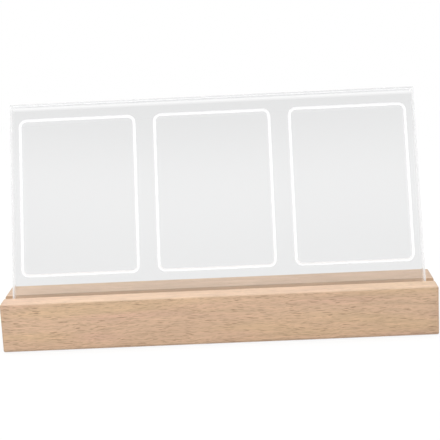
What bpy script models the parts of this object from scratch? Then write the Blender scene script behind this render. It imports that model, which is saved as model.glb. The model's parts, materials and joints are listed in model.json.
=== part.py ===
"""Acrylic LED photo frame.

A clear panel with three engraved picture outlines leans back in the slot of a beech base.
A strip of light diodes under the slot shines up into the panel's lower edge. Its power board
sits behind a small plate in the back of the base, with a supply socket and a push button.

X runs along the base, Y from the front to the back, and Z up. The origin is on the surface
that the frame stands on, under the middle of the base. All lengths are in metres.
"""

import math

import bmesh
import bpy
from mathutils import Matrix, Vector

# Clearances
SEAT_GAP = 0.0003
BORE_GAP = 0.0003
CUT_OVERRUN = 0.0010

# Beech base
BASE_LENGTH = 0.2200
BASE_DEPTH = 0.0350
BASE_HEIGHT = 0.0250
BASE_EDGE_ROUND = 0.0008

# Clear panel
PANEL_END_INSET = 0.0045
PANEL_HEIGHT = 0.1130
PANEL_THICKNESS = 0.0050
PANEL_EDGE_BEVEL = 0.0015
PANEL_LEAN = math.radians(20)

# Engraved picture outlines
PANE_COUNT = 3
PANE_SIDE_MARGIN = 0.00565
PANE_TOP_MARGIN = 0.0091
PANE_GAP = 0.0106
PANE_RISE = 0.0227
PANE_CORNER_RADIUS = 0.0034
ENGRAVING_WIDTH = 0.0015
ENGRAVING_DEPTH = 0.0005

# Slot for the panel
SLOT_LIP = 0.0110
SLOT_SEAT_DEPTH = 0.0124
SLOT_SIDE_GAP = 0.0002

# Light strip under the slot
LED_BOARD_END_INSET = 0.0080
LED_BOARD_WIDTH = 0.0080
LED_BOARD_THICKNESS = 0.0010
LED_COUNT = 12
LED_LENGTH = 0.0035
LED_WIDTH = 0.0028
LED_HEIGHT = 0.0008
LED_RIM = 0.0004
LED_LENS_DEPTH = 0.0002
LED_AIR_GAP = 0.0010
LED_SIDE_GAP = 0.0004
LEDS_PER_RESISTOR = 3
STRIP_RESISTOR_SIZE = Vector((0.0020, 0.0012, 0.0005))
CHANNEL_SIDE_GAP = 0.0005

# Bottom cover and the pad that the frame stands on
PAD_THICKNESS = 0.0008
PAD_PROUD = 0.0004
PAD_INSET = 0.0022
PAD_CORNER_RADIUS = 0.0030
COVER_END_INSET = 0.0070
COVER_SIDE_INSET = 0.0035
COVER_THICKNESS = 0.0020
COVER_CORNER_RADIUS = 0.0025
COVER_POST_COUNT = 6
COVER_POST_RADIUS = 0.0020
COVER_SCREW_INSET = 0.0050
COVER_SCREW_SPREAD = 0.0450
COVER_SCREW_LENGTH = 0.0090
COVER_SCREW_HEAD_RADIUS = 0.0023
COVER_SCREW_HEAD_HEIGHT = 0.0013
COVER_SCREW_SHANK_RADIUS = 0.0012
COVER_SCREW_ACCESS_RADIUS = 0.0035

# Plate in the back of the base
PORT_HEIGHT = 0.0120
PLATE_WIDTH = 0.0460
PLATE_HEIGHT = 0.0150
PLATE_THICKNESS = 0.0016
PLATE_CORNER_RADIUS = 0.0025
PLATE_SET_BACK = 0.0003
PLATE_BACKING = 0.0022
PLATE_SCREW_INSET = 0.0027
PLATE_SCREW_LENGTH = 0.0070
PLATE_SCREW_HEAD_RADIUS = 0.0018
PLATE_SCREW_HEAD_HEIGHT = 0.0010
PLATE_SCREW_SHANK_RADIUS = 0.0009
BOSS_LENGTH = 0.0052
BOSS_RADIUS = 0.0020
BOSS_INSET = 0.0025

# Power board
BOARD_LENGTH = 0.0340
BOARD_HEIGHT = 0.0106
BOARD_THICKNESS = 0.0012
BOARD_SIDE_GAP = 0.0005
BOARD_SCREW_LENGTH = 0.0045
BOARD_SCREW_HEAD_RADIUS = 0.0017
BOARD_SCREW_HEAD_HEIGHT = 0.0011
BOARD_SCREW_SHANK_RADIUS = 0.0008
CHIP_PLACE = -0.0090
CHIP_SIZE = Vector((0.0050, 0.0040, 0.0015))
CAPACITOR_PLACE = 0.0085
CAPACITOR_RADIUS = 0.0020
CAPACITOR_LENGTH = 0.0040
BOARD_RESISTOR_COUNT = 3
BOARD_RESISTOR_PLACE = -0.0095
BOARD_RESISTOR_PITCH = 0.0022
BOARD_RESISTOR_DROP = 0.0036
BOARD_RESISTOR_SIZE = Vector((0.0013, 0.0020, 0.0006))

# Supply socket
SOCKET_PLACE = -0.0065
SOCKET_WIDTH = 0.0090
SOCKET_HEIGHT = 0.0032
SOCKET_WALL = 0.0003
SOCKET_SET_BACK = 0.0006
TONGUE_WIDTH = 0.0067
TONGUE_THICKNESS = 0.0007
TONGUE_SET_BACK = 0.0006
TONGUE_ROOT_LENGTH = 0.0016

# Push button and its switch
BUTTON_PLACE = 0.0065
BUTTON_RADIUS = 0.0030
BUTTON_PROUD = 0.0009
BUTTON_EDGE_ROUND = 0.0006
BUTTON_TRAVEL = 0.0008
BUTTON_FLANGE = 0.0009
BUTTON_FLANGE_THICKNESS = 0.0010
SWITCH_SIZE = 0.0060
SWITCH_WELL_FLOOR = 0.0005
PLUNGER_RADIUS = 0.0016
PLUNGER_STEM_RADIUS = 0.0010
PLUNGER_STEM_LENGTH = 0.0020

# Wires between the power board and the light strip
HEADER_SIZE = Vector((0.0060, 0.0055, 0.0045))
HEADER_WALL = 0.0007
HEADER_WELL_DEPTH = 0.0040
PLUG_LENGTH = 0.0062
WIRE_SPACING = 0.0020
WIRE_RADIUS = 0.0006
WIRE_BEND = 0.0030
WIRE_FLOOR_GAP = 0.0008
WIRE_PASSAGE_GAP = 0.0030
JOINT_RADIUS = 0.0008
JOINT_TIP_RADIUS = 0.0004
JOINT_HEIGHT = 0.0007

# Cross recess of a screw, as shares of its head's radius and height, and its tip's share of the shank
RECESS_LENGTH_SHARE = 1.2
RECESS_WIDTH_SHARE = 0.3
RECESS_DEPTH_SHARE = 0.6
SCREW_TIP_SHARE = 1 / 3

# Fineness of round shapes
CORNER_STEPS = 6
EDGE_STEPS = 3
FINE_SIDES = 32
ROUND_SIDES = 20
SMALL_SIDES = 12
WIRE_BEVEL_STEPS = 2
SMOOTH_ANGLE = math.radians(35)

# Lengths and widths worked out from the base and the panel
PANEL_WIDTH = BASE_LENGTH - 2 * PANEL_END_INSET
PANE_GAPS = (PANE_COUNT - 1) * PANE_GAP
PANE_WIDTH = (PANEL_WIDTH - 2 * PANE_SIDE_MARGIN - PANE_GAPS) / PANE_COUNT
PANE_HEIGHT = PANEL_HEIGHT - PANE_RISE - PANE_TOP_MARGIN
COVER_LENGTH = BASE_LENGTH - 2 * COVER_END_INSET
COVER_WIDTH = BASE_DEPTH - 2 * COVER_SIDE_INSET
LED_BOARD_LENGTH = COVER_LENGTH - 2 * LED_BOARD_END_INSET

# Heights worked out from the surface that the frame stands on
WOOD_LOW = PAD_PROUD
WOOD_TOP = WOOD_LOW + BASE_HEIGHT
COVER_LOW = PAD_THICKNESS + SEAT_GAP
COVER_TOP = COVER_LOW + COVER_THICKNESS
COVER_CEILING = COVER_TOP + SEAT_GAP

# The panel's seat, on the middle line of the slot
LEAN_SIN = math.sin(PANEL_LEAN)
LEAN_COS = math.cos(PANEL_LEAN)
FRONT_FACE = -BASE_DEPTH / 2
REAR_FACE = BASE_DEPTH / 2
SLOT_WIDTH = PANEL_THICKNESS + 2 * SLOT_SIDE_GAP
SLOT_TOP_MIDDLE = FRONT_FACE + SLOT_LIP + SLOT_WIDTH / 2 / LEAN_COS
SEAT_Y = SLOT_TOP_MIDDLE - SLOT_SEAT_DEPTH * LEAN_SIN
SEAT_Z = WOOD_TOP - SLOT_SEAT_DEPTH * LEAN_COS
PANEL_SEAT = Vector((0, SEAT_Y, SEAT_Z))

# Levels of the light strip, from the panel's lowest corner down
PANEL_LOW = PANEL_SEAT.z - PANEL_THICKNESS / 2 * LEAN_SIN
LED_TOP = PANEL_LOW - LED_AIR_GAP
LED_LOW = LED_TOP - LED_HEIGHT
LED_BOARD_TOP = LED_LOW - SEAT_GAP
LED_BOARD_LOW = LED_BOARD_TOP - LED_BOARD_THICKNESS

# Depths behind the base's rear face, negative towards the front
PLATE_OUTER = -PLATE_SET_BACK
PLATE_INNER = PLATE_OUTER - PLATE_THICKNESS
PLATE_RECESS = PLATE_INNER - SEAT_GAP
POCKET_REAR = PLATE_RECESS - PLATE_BACKING
BOARD_OUTER = PLATE_INNER - BOSS_LENGTH - SEAT_GAP
BOARD_INNER = BOARD_OUTER - BOARD_THICKNESS
ON_BOARD = BOARD_OUTER + SEAT_GAP
UNDER_BOARD = BOARD_INNER - SEAT_GAP
HEADER_FRONT = UNDER_BOARD - HEADER_SIZE.z
POCKET_FRONT = HEADER_FRONT - BOARD_SIDE_GAP
BOSS_PLACE = BOARD_LENGTH / 2 - BOSS_INSET

# Levels of the push button, along its own axis
FLANGE_OUTER = PLATE_INNER - SEAT_GAP
FLANGE_INNER = FLANGE_OUTER - BUTTON_FLANGE_THICKNESS
SWITCH_OUTER = FLANGE_INNER - BUTTON_TRAVEL - SEAT_GAP
PLUNGER_OUTER = FLANGE_INNER - SEAT_GAP
PLUNGER_INNER = ON_BOARD + SWITCH_WELL_FLOOR + BUTTON_TRAVEL + SEAT_GAP


def clear_scene():
    """Remove every object, so that the script starts from nothing."""
    for obj in list(bpy.data.objects):
        bpy.data.objects.remove(obj, do_unlink=True)


def finish(name, colour, roughness, metallic=0.0, transmission=0.0):
    """A plain material with one colour."""
    material = bpy.data.materials.new(name)
    material.use_nodes = True
    shader = material.node_tree.nodes["Principled BSDF"]
    shader.inputs["Base Color"].default_value = (*colour, 1.0)
    shader.inputs["Roughness"].default_value = roughness
    shader.inputs["Metallic"].default_value = metallic
    shader.inputs["Transmission Weight"].default_value = transmission
    material.diffuse_color = (*colour, 1.0)
    return material


def add_frame(name, place, turn_about_x=0.0, parent=None):
    """An empty that carries pieces, turned about X only."""
    frame = bpy.data.objects.new(name, None)
    frame.empty_display_size = 0.01
    frame.location = place
    frame.rotation_euler = (turn_about_x, 0, 0)
    frame.parent = parent
    bpy.context.scene.collection.objects.link(frame)
    return frame


def make_mesh(name, shape, material=None, smooth=False):
    """Turn a finished shape into a mesh with its faces pointing out."""
    bmesh.ops.recalc_face_normals(shape, faces=shape.faces)
    mesh = bpy.data.meshes.new(name)
    shape.to_mesh(mesh)
    shape.free()
    if smooth:
        mesh.shade_smooth()
        mesh.set_sharp_from_angle(angle=SMOOTH_ANGLE)
    if material:
        mesh.materials.append(material)
    return mesh


def place_mesh(name, mesh, frame, place=(0, 0, 0)):
    """A named object that shows a mesh at its place in a frame."""
    obj = bpy.data.objects.new(name, mesh)
    obj.parent = frame
    obj.location = place
    bpy.context.scene.collection.objects.link(obj)
    return obj


def add_object(name, shape, frame, material=None, smooth=False):
    """Turn a finished shape into a named object in its frame."""
    return place_mesh(name, make_mesh(name, shape, material, smooth), frame)


def add_copies(name, shape, frame, places, material=None, smooth=False):
    """Objects that share one mesh, numbered from 1, each at its own place."""
    mesh = make_mesh(name, shape, material, smooth)
    copies = []
    for number, place in enumerate(places, 1):
        copies.append(place_mesh(f"{name}_{number}", mesh, frame, place))
    return copies


def add_hidden(name, shape, frame):
    """A shape that only cuts or joins, and isn't part of the object."""
    guide = add_object(name, shape, frame)
    guide.hide_render = True
    guide.display_type = "WIRE"
    return guide


def combine(target, guide, operation):
    """Cut or join the target with a hidden shape, in an exact Boolean."""
    modifier = target.modifiers.new(guide.name, "BOOLEAN")
    modifier.operation = operation
    modifier.solver = "EXACT"
    modifier.object = guide


def cut_away(target, name, shape, frame):
    """Cut a shape out of the target."""
    combine(target, add_hidden(name, shape, frame), "DIFFERENCE")


def join_on(target, name, shape, frame):
    """Join a shape onto the target."""
    combine(target, add_hidden(name, shape, frame), "UNION")


def extrude_steps(shape, face, axis, steps):
    """Extrude an end face step by step: each step is a height and a growth about the axis.

    The first face stays as the body's start cap, and the last one closes its far end.
    """
    start = face
    for height, growth in steps:
        result = bmesh.ops.extrude_face_region(shape, geom=[face])
        if face is not start:
            bmesh.ops.delete(shape, geom=[face], context="FACES_ONLY")
        face = next(item for item in result["geom"] if isinstance(item, bmesh.types.BMFace))
        for vert in face.verts:
            vert.co.x = axis.x + (vert.co.x - axis.x) * growth
            vert.co.y = axis.y + (vert.co.y - axis.y) * growth
            vert.co.z = height


def add_prism(shape, outline, low, high):
    """Add a closed prism with its outline in the XY plane."""
    face = shape.faces.new([shape.verts.new((point.x, point.y, low)) for point in outline])
    extrude_steps(shape, face, Vector((0, 0, 0)), [(high, 1.0)])


def add_block(shape, low, high):
    """Add a closed box between its lowest and its highest corner."""
    corners = [(low[0], low[1]), (high[0], low[1]), (high[0], high[1]), (low[0], high[1])]
    add_prism(shape, [Vector((*corner, 0)) for corner in corners], low[2], high[2])


def add_turned(shape, profile, sides, centre=(0, 0)):
    """Add a closed turned body: the profile lists radius and height from one end to the other."""
    axis = Vector((*centre, 0))
    start_radius, start_height = profile[0]
    place = Matrix.Translation((axis.x, axis.y, start_height))
    ring = bmesh.ops.create_circle(shape, cap_ends=True, segments=sides, radius=start_radius, matrix=place)
    steps = []
    for (radius, _), (next_radius, height) in zip(profile, profile[1:]):
        steps.append((height, next_radius / radius))
    extrude_steps(shape, ring["verts"][0].link_faces[0], axis, steps)


def rounded_rectangle(width, height, radius, middle=(0, 0)):
    """Points of a rectangle with round corners, anticlockwise about its middle."""
    points = []
    for quarter, (side_x, side_y) in enumerate(((1, 1), (-1, 1), (-1, -1), (1, -1))):
        centre = Vector((side_x * (width / 2 - radius), side_y * (height / 2 - radius), 0))
        for step in range(CORNER_STEPS + 1):
            angle = (quarter + step / CORNER_STEPS) * math.pi / 2
            arm = Vector((math.cos(angle), math.sin(angle), 0))
            points.append(Vector((*middle, 0)) + centre + radius * arm)
    return points


def stadium(width, height, middle=(0, 0)):
    """Points of a slot with round ends, anticlockwise about its middle."""
    points = []
    reach = (width - height) / 2
    for side, start in ((1, -math.pi / 2), (-1, math.pi / 2)):
        for step in range(2 * CORNER_STEPS + 1):
            angle = start + step / (2 * CORNER_STEPS) * math.pi
            arm = Vector((math.cos(angle), math.sin(angle), 0))
            points.append(Vector((*middle, 0)) + Vector((side * reach, 0, 0)) + height / 2 * arm)
    return points


def cross(length, width, middle=(0, 0)):
    """Points of a cross recess, anticlockwise."""
    long, short = length / 2, width / 2
    arm = [Vector((long, -short, 0)), Vector((long, short, 0)), Vector((short, short, 0))]
    points = []
    for quarter in range(4):
        turn = Matrix.Rotation(quarter * math.pi / 2, 3, "Z")
        points += [Vector((*middle, 0)) + turn @ point for point in arm]
    return points


def evenly(count, pitch):
    """Places of a row of equal steps, centred on zero."""
    return [(index - (count - 1) / 2) * pitch for index in range(count)]


def cover_screw_places():
    """Middles of the cover's screws: two at each end and two along the back."""
    end = COVER_LENGTH / 2 - COVER_SCREW_INSET
    side = COVER_WIDTH / 2 - COVER_SCREW_INSET
    corners = [(x, y) for x in (-end, end) for y in (-side, side)]
    return corners + [(-COVER_SCREW_SPREAD, side), (COVER_SCREW_SPREAD, side)]


def plate_screw_places():
    """Middles of the rear plate's screws."""
    reach = PLATE_WIDTH / 2 - PLATE_SCREW_INSET
    return [(-reach, 0), (reach, 0)]


def boss_places():
    """Middles of the rear plate's two bosses."""
    return [(-BOSS_PLACE, 0), (BOSS_PLACE, 0)]


def strip_resistor_places():
    """Places along the strip, between two diodes of each group of three."""
    pitch = LED_BOARD_LENGTH / LED_COUNT
    leds = evenly(LED_COUNT, pitch)
    return [leds[index] + pitch / 2 for index in range(0, LED_COUNT - 1, LEDS_PER_RESISTOR)]


def add_screws(name, places, frame, head, length, shank_radius, top, upward):
    """Equal screws, each with a cross recess in its head.

    head is the head's (radius, height, rim): a round head's rim is as high as the head, and a
    countersunk one's is thin. top is the level of the head's face, and upward is 1 where the
    shank points up and -1 where it points down.
    """
    head_radius, head_height, rim = head
    levels = [(head_radius, 0), (head_radius, rim), (shank_radius, head_height)]
    levels += [(shank_radius, length - shank_radius), (shank_radius * SCREW_TIP_SHARE, length)]
    shape = bmesh.new()
    add_turned(shape, [(radius, upward * depth) for radius, depth in levels], SMALL_SIDES)
    material = finish(name, (0.72, 0.72, 0.70), 0.35, metallic=1.0)
    spots = [(*place, top) for place in places]
    screws = add_copies(name, shape, frame, spots, material, smooth=True)
    recesses = bmesh.new()
    ends = sorted((top - upward * CUT_OVERRUN, top + upward * head_height * RECESS_DEPTH_SHARE))
    for place in places:
        outline = cross(head_radius * RECESS_LENGTH_SHARE, head_radius * RECESS_WIDTH_SHARE, place)
        add_prism(recesses, outline, *ends)
    cutter = add_hidden(name + "_recess_cutter", recesses, frame)
    for screw in screws:
        combine(screw, cutter, "DIFFERENCE")


def make_wooden_base(base_frame, panel_frame, rear_frame):
    """The beech bar, with every cut that its pieces need."""
    shape = bmesh.new()
    low = (-BASE_LENGTH / 2, FRONT_FACE, WOOD_LOW)
    high = (BASE_LENGTH / 2, REAR_FACE, WOOD_TOP)
    add_block(shape, low, high)
    bmesh.ops.recalc_face_normals(shape, faces=shape.faces)
    bmesh.ops.bevel(
        shape, geom=shape.edges[:], offset=BASE_EDGE_ROUND, segments=EDGE_STEPS, profile=0.5, affect="EDGES"
    )
    material = finish("beech", (0.66, 0.45, 0.29), 0.55)
    base = add_object("wooden_base", shape, base_frame, material, smooth=True)
    cut_slot(base, panel_frame)
    cut_light_channel(base, base_frame)
    cut_underside(base, base_frame)
    cut_rear(base, rear_frame)
    return base


def cut_slot(base, panel_frame):
    """The slanted slot, open at both ends, square to the panel."""
    shape = bmesh.new()
    reach = BASE_LENGTH / 2 + CUT_OVERRUN
    low = (-reach, -SLOT_WIDTH / 2, -SEAT_GAP)
    high = (reach, SLOT_WIDTH / 2, SLOT_SEAT_DEPTH + SLOT_WIDTH)
    add_block(shape, low, high)
    cut_away(base, "slot_cutter", shape, panel_frame)


def cut_light_channel(base, base_frame):
    """The strip's channel from below, and the narrow slit from it up into the slot."""
    reach = LED_BOARD_LENGTH / 2 + CHANNEL_SIDE_GAP
    shape = bmesh.new()
    half = LED_BOARD_WIDTH / 2 + CHANNEL_SIDE_GAP
    add_block(
        shape,
        (-reach, PANEL_SEAT.y - half, WOOD_LOW - CUT_OVERRUN),
        (reach, PANEL_SEAT.y + half, LED_BOARD_TOP + SEAT_GAP),
    )
    cut_away(base, "channel_cutter", shape, base_frame)
    slit = bmesh.new()
    half = LED_WIDTH / 2 + LED_SIDE_GAP
    slot_floor_high = PANEL_SEAT.z + SLOT_WIDTH / 2 * LEAN_SIN
    add_block(
        slit,
        (-reach, PANEL_SEAT.y - half, LED_BOARD_LOW),
        (reach, PANEL_SEAT.y + half, slot_floor_high),
    )
    cut_away(base, "slit_cutter", slit, base_frame)


def cut_underside(base, base_frame):
    """Shallow bed of the pad, bed of the cover, and the cover screws' pilot holes."""
    bed = bmesh.new()
    outline = rounded_rectangle(
        BASE_LENGTH - 2 * PAD_INSET + 2 * SEAT_GAP,
        BASE_DEPTH - 2 * PAD_INSET + 2 * SEAT_GAP,
        PAD_CORNER_RADIUS + SEAT_GAP,
    )
    add_prism(bed, outline, WOOD_LOW - CUT_OVERRUN, COVER_LOW)
    cut_away(base, "pad_bed_cutter", bed, base_frame)
    bed = bmesh.new()
    outline = rounded_rectangle(
        COVER_LENGTH + 2 * SEAT_GAP, COVER_WIDTH + 2 * SEAT_GAP, COVER_CORNER_RADIUS + SEAT_GAP
    )
    add_prism(bed, outline, WOOD_LOW - CUT_OVERRUN, COVER_CEILING)
    cut_away(base, "cover_bed_cutter", bed, base_frame)
    holes = bmesh.new()
    radius = COVER_SCREW_SHANK_RADIUS + BORE_GAP
    end = COVER_LOW + COVER_SCREW_LENGTH + SEAT_GAP
    for place in cover_screw_places():
        add_turned(holes, [(radius, COVER_TOP), (radius, end)], SMALL_SIDES, place)
    cut_away(base, "cover_pilot_cutter", holes, base_frame)


def cut_rear(base, rear_frame):
    """Bed of the rear plate, the opening behind it, the board's pocket and the wires' passage."""
    bed = bmesh.new()
    outline = rounded_rectangle(
        PLATE_WIDTH + 2 * SEAT_GAP, PLATE_HEIGHT + 2 * SEAT_GAP, PLATE_CORNER_RADIUS + SEAT_GAP
    )
    add_prism(bed, outline, PLATE_RECESS, CUT_OVERRUN)
    cut_away(base, "plate_bed_cutter", bed, rear_frame)
    half_x = BOARD_LENGTH / 2 + BOARD_SIDE_GAP
    half_y = BOARD_HEIGHT / 2 + BOARD_SIDE_GAP
    below = PORT_HEIGHT - WOOD_LOW + CUT_OVERRUN
    opening = bmesh.new()
    add_block(opening, (-half_x, -half_y, POCKET_REAR - CUT_OVERRUN), (half_x, half_y, 0))
    cut_away(base, "port_cutter", opening, rear_frame)
    pocket = bmesh.new()
    add_block(pocket, (-half_x, -half_y, POCKET_FRONT), (half_x, below, POCKET_REAR))
    cut_away(base, "pocket_cutter", pocket, rear_frame)
    passage = bmesh.new()
    half_x = WIRE_SPACING / 2 + WIRE_RADIUS + WIRE_PASSAGE_GAP
    channel_depth = PANEL_SEAT.y - REAR_FACE
    ceiling = PORT_HEIGHT - (COVER_CEILING + 2 * WIRE_RADIUS + WIRE_BEND)
    add_block(passage, (-half_x, ceiling, channel_depth), (half_x, below, POCKET_FRONT + CUT_OVERRUN))
    cut_away(base, "passage_cutter", passage, rear_frame)
    holes = bmesh.new()
    radius = PLATE_SCREW_SHANK_RADIUS + BORE_GAP
    end = PLATE_OUTER - PLATE_SCREW_LENGTH - SEAT_GAP
    for place in plate_screw_places():
        add_turned(holes, [(radius, end), (radius, PLATE_INNER)], SMALL_SIDES, place)
    cut_away(base, "plate_pilot_cutter", holes, rear_frame)


def make_acrylic_panel(panel_frame):
    """The clear panel: three bevelled sides, a square lower edge and the engraved outlines."""
    shape = bmesh.new()
    half_x, half_y = PANEL_WIDTH / 2, PANEL_THICKNESS / 2
    add_block(shape, (-half_x, -half_y, 0), (half_x, half_y, PANEL_HEIGHT))
    bmesh.ops.recalc_face_normals(shape, faces=shape.faces)
    rims = []
    for edge in shape.edges:
        start, end = edge.verts[0].co, edge.verts[1].co
        across = abs(start.y - end.y) > half_y
        at_foot = max(start.z, end.z) < PANEL_HEIGHT / 2
        if not across and not at_foot:
            rims.append(edge)
    bmesh.ops.bevel(shape, geom=rims, offset=PANEL_EDGE_BEVEL, segments=1, affect="EDGES")
    material = finish("clear_acrylic", (0.90, 0.91, 0.92), 0.05, transmission=0.9)
    panel = add_object("acrylic_panel", shape, panel_frame, material)
    panes_middle = (0, -half_y, PANE_RISE + PANE_HEIGHT / 2)
    engraving_frame = add_frame("engraving_frame", panes_middle, math.pi / 2, panel_frame)
    grooves = bmesh.new()
    for middle in evenly(PANE_COUNT, PANE_WIDTH + PANE_GAP):
        add_outline_groove(grooves, middle)
    cut_away(panel, "engraving_cutter", grooves, engraving_frame)
    return panel


def add_outline_groove(shape, middle):
    """A closed ring, wide as the engraved line, sunk into the panel's front by its depth."""
    loops = []
    for side in (1, -1):
        outline = rounded_rectangle(
            PANE_WIDTH + side * ENGRAVING_WIDTH,
            PANE_HEIGHT + side * ENGRAVING_WIDTH,
            PANE_CORNER_RADIUS + side * ENGRAVING_WIDTH / 2,
            (middle, 0),
        )
        verts = [shape.verts.new((point.x, point.y, CUT_OVERRUN)) for point in outline]
        loops += [shape.edges.new(pair) for pair in zip(verts, verts[1:] + verts[:1])]
    ring = bmesh.ops.bridge_loops(shape, edges=loops)["faces"]
    result = bmesh.ops.extrude_face_region(shape, geom=ring)
    moved = [item for item in result["geom"] if isinstance(item, bmesh.types.BMVert)]
    for vert in moved:
        vert.co.z = -ENGRAVING_DEPTH


def make_light_strip(base_frame):
    """The strip's board, its diodes and its resistors."""
    shape = bmesh.new()
    half_x, half_y = LED_BOARD_LENGTH / 2, LED_BOARD_WIDTH / 2
    middle = PANEL_SEAT.y
    add_block(shape, (-half_x, middle - half_y, LED_BOARD_LOW), (half_x, middle + half_y, LED_BOARD_TOP))
    add_object("led_strip_board", shape, base_frame, finish("strip_board", (0.86, 0.87, 0.86), 0.45))
    chip = bmesh.new()
    add_block(chip, (-LED_LENGTH / 2, -LED_WIDTH / 2, LED_LOW), (LED_LENGTH / 2, LED_WIDTH / 2, LED_TOP))
    bmesh.ops.recalc_face_normals(chip, faces=chip.faces)
    window = max(chip.faces, key=lambda face: face.calc_center_median().z)
    bmesh.ops.inset_individual(chip, faces=[window], thickness=LED_RIM)
    sunk = bmesh.ops.extrude_face_region(chip, geom=[window])["geom"]
    bmesh.ops.delete(chip, geom=[window], context="FACES_ONLY")
    verts = [item for item in sunk if isinstance(item, bmesh.types.BMVert)]
    bmesh.ops.translate(chip, verts=verts, vec=(0, 0, -LED_LENS_DEPTH))
    spots = [(place, middle, 0) for place in evenly(LED_COUNT, LED_BOARD_LENGTH / LED_COUNT)]
    add_copies("led_chip", chip, base_frame, spots, finish("diode", (0.93, 0.90, 0.70), 0.3))
    resistor = bmesh.new()
    size = STRIP_RESISTOR_SIZE
    add_block(resistor, (-size.x / 2, -size.y / 2, LED_LOW), (size.x / 2, size.y / 2, LED_LOW + size.z))
    spots = [(place, middle, 0) for place in strip_resistor_places()]
    material = finish("strip_resistor", (0.05, 0.05, 0.05), 0.4)
    add_copies("led_strip_resistor", resistor, base_frame, spots, material)


def make_bottom_cover(base_frame):
    """The cover, with posts that hold the light strip up against its shoulder."""
    shape = bmesh.new()
    outline = rounded_rectangle(COVER_LENGTH, COVER_WIDTH, COVER_CORNER_RADIUS)
    add_prism(shape, outline, COVER_LOW, COVER_TOP)
    material = finish("cover_plastic", (0.06, 0.06, 0.065), 0.5)
    cover = add_object("bottom_cover", shape, base_frame, material)
    posts = bmesh.new()
    root = COVER_TOP - COVER_THICKNESS / 2
    profile = [(COVER_POST_RADIUS, root), (COVER_POST_RADIUS, LED_BOARD_LOW - SEAT_GAP)]
    for place in evenly(COVER_POST_COUNT, LED_BOARD_LENGTH / COVER_POST_COUNT):
        add_turned(posts, profile, SMALL_SIDES, (place, PANEL_SEAT.y))
    join_on(cover, "cover_post_guide", posts, base_frame)
    holes = bmesh.new()
    shank = COVER_SCREW_SHANK_RADIUS + BORE_GAP
    head = COVER_SCREW_HEAD_RADIUS + BORE_GAP
    neck = COVER_LOW + COVER_SCREW_HEAD_HEIGHT + SEAT_GAP
    profile = [(head, COVER_LOW - CUT_OVERRUN), (head, COVER_LOW + SEAT_GAP)]
    profile += [(shank, neck), (shank, COVER_TOP + CUT_OVERRUN)]
    for place in cover_screw_places():
        add_turned(holes, profile, SMALL_SIDES, place)
    cut_away(cover, "cover_hole_cutter", holes, base_frame)


def make_anti_slip_pad(base_frame):
    """The thin foam pad, with a hole for the driver at each cover screw."""
    shape = bmesh.new()
    outline = rounded_rectangle(BASE_LENGTH - 2 * PAD_INSET, BASE_DEPTH - 2 * PAD_INSET, PAD_CORNER_RADIUS)
    add_prism(shape, outline, 0, PAD_THICKNESS)
    pad = add_object("anti_slip_pad", shape, base_frame, finish("pad_foam", (0.035, 0.035, 0.038), 0.9))
    holes = bmesh.new()
    radius = COVER_SCREW_ACCESS_RADIUS
    profile = [(radius, -CUT_OVERRUN), (radius, PAD_THICKNESS + CUT_OVERRUN)]
    for place in cover_screw_places():
        add_turned(holes, profile, ROUND_SIDES, place)
    cut_away(pad, "pad_hole_cutter", holes, base_frame)


def make_cover_screws(base_frame):
    """Countersunk screws through the cover into the wood."""
    head = (COVER_SCREW_HEAD_RADIUS, COVER_SCREW_HEAD_HEIGHT, SEAT_GAP)
    add_screws(
        "cover_screw", cover_screw_places(), base_frame, head,
        COVER_SCREW_LENGTH, COVER_SCREW_SHANK_RADIUS, COVER_LOW, 1,
    )


def make_rear_plate(rear_frame):
    """The plate with its socket opening, button hole, screw holes and two bosses."""
    shape = bmesh.new()
    outline = rounded_rectangle(PLATE_WIDTH, PLATE_HEIGHT, PLATE_CORNER_RADIUS)
    add_prism(shape, outline, PLATE_INNER, PLATE_OUTER)
    plate = add_object("rear_plate", shape, rear_frame, finish("plate_plastic", (0.05, 0.05, 0.055), 0.45))
    bosses = bmesh.new()
    root = PLATE_INNER + PLATE_THICKNESS / 2
    profile = [(BOSS_RADIUS, PLATE_INNER - BOSS_LENGTH), (BOSS_RADIUS, root)]
    for place in boss_places():
        add_turned(bosses, profile, ROUND_SIDES, place)
    join_on(plate, "boss_guide", bosses, rear_frame)
    openings = bmesh.new()
    outline = stadium(SOCKET_WIDTH + 2 * BORE_GAP, SOCKET_HEIGHT + 2 * BORE_GAP, (SOCKET_PLACE, 0))
    add_prism(openings, outline, PLATE_INNER - CUT_OVERRUN, CUT_OVERRUN)
    radius = BUTTON_RADIUS + BORE_GAP
    profile = [(radius, PLATE_INNER - CUT_OVERRUN), (radius, CUT_OVERRUN)]
    add_turned(openings, profile, FINE_SIDES, (BUTTON_PLACE, 0))
    shank = PLATE_SCREW_SHANK_RADIUS + BORE_GAP
    head = PLATE_SCREW_HEAD_RADIUS + BORE_GAP
    neck = PLATE_OUTER - PLATE_SCREW_HEAD_HEIGHT - SEAT_GAP
    profile = [(shank, PLATE_INNER - CUT_OVERRUN), (shank, neck)]
    profile += [(head, PLATE_OUTER - SEAT_GAP), (head, PLATE_OUTER + CUT_OVERRUN)]
    for place in plate_screw_places():
        add_turned(openings, profile, ROUND_SIDES, place)
    radius = BOARD_SCREW_SHANK_RADIUS + BORE_GAP
    end = UNDER_BOARD + BOARD_SCREW_LENGTH + SEAT_GAP
    for place in boss_places():
        add_turned(openings, [(radius, BOARD_INNER), (radius, end)], SMALL_SIDES, place)
    cut_away(plate, "plate_opening_cutter", openings, rear_frame)


def make_plate_screws(rear_frame):
    """Countersunk screws through the rear plate into the wood."""
    head = (PLATE_SCREW_HEAD_RADIUS, PLATE_SCREW_HEAD_HEIGHT, SEAT_GAP)
    add_screws(
        "rear_plate_screw", plate_screw_places(), rear_frame, head,
        PLATE_SCREW_LENGTH, PLATE_SCREW_SHANK_RADIUS, PLATE_OUTER, -1,
    )


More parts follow.
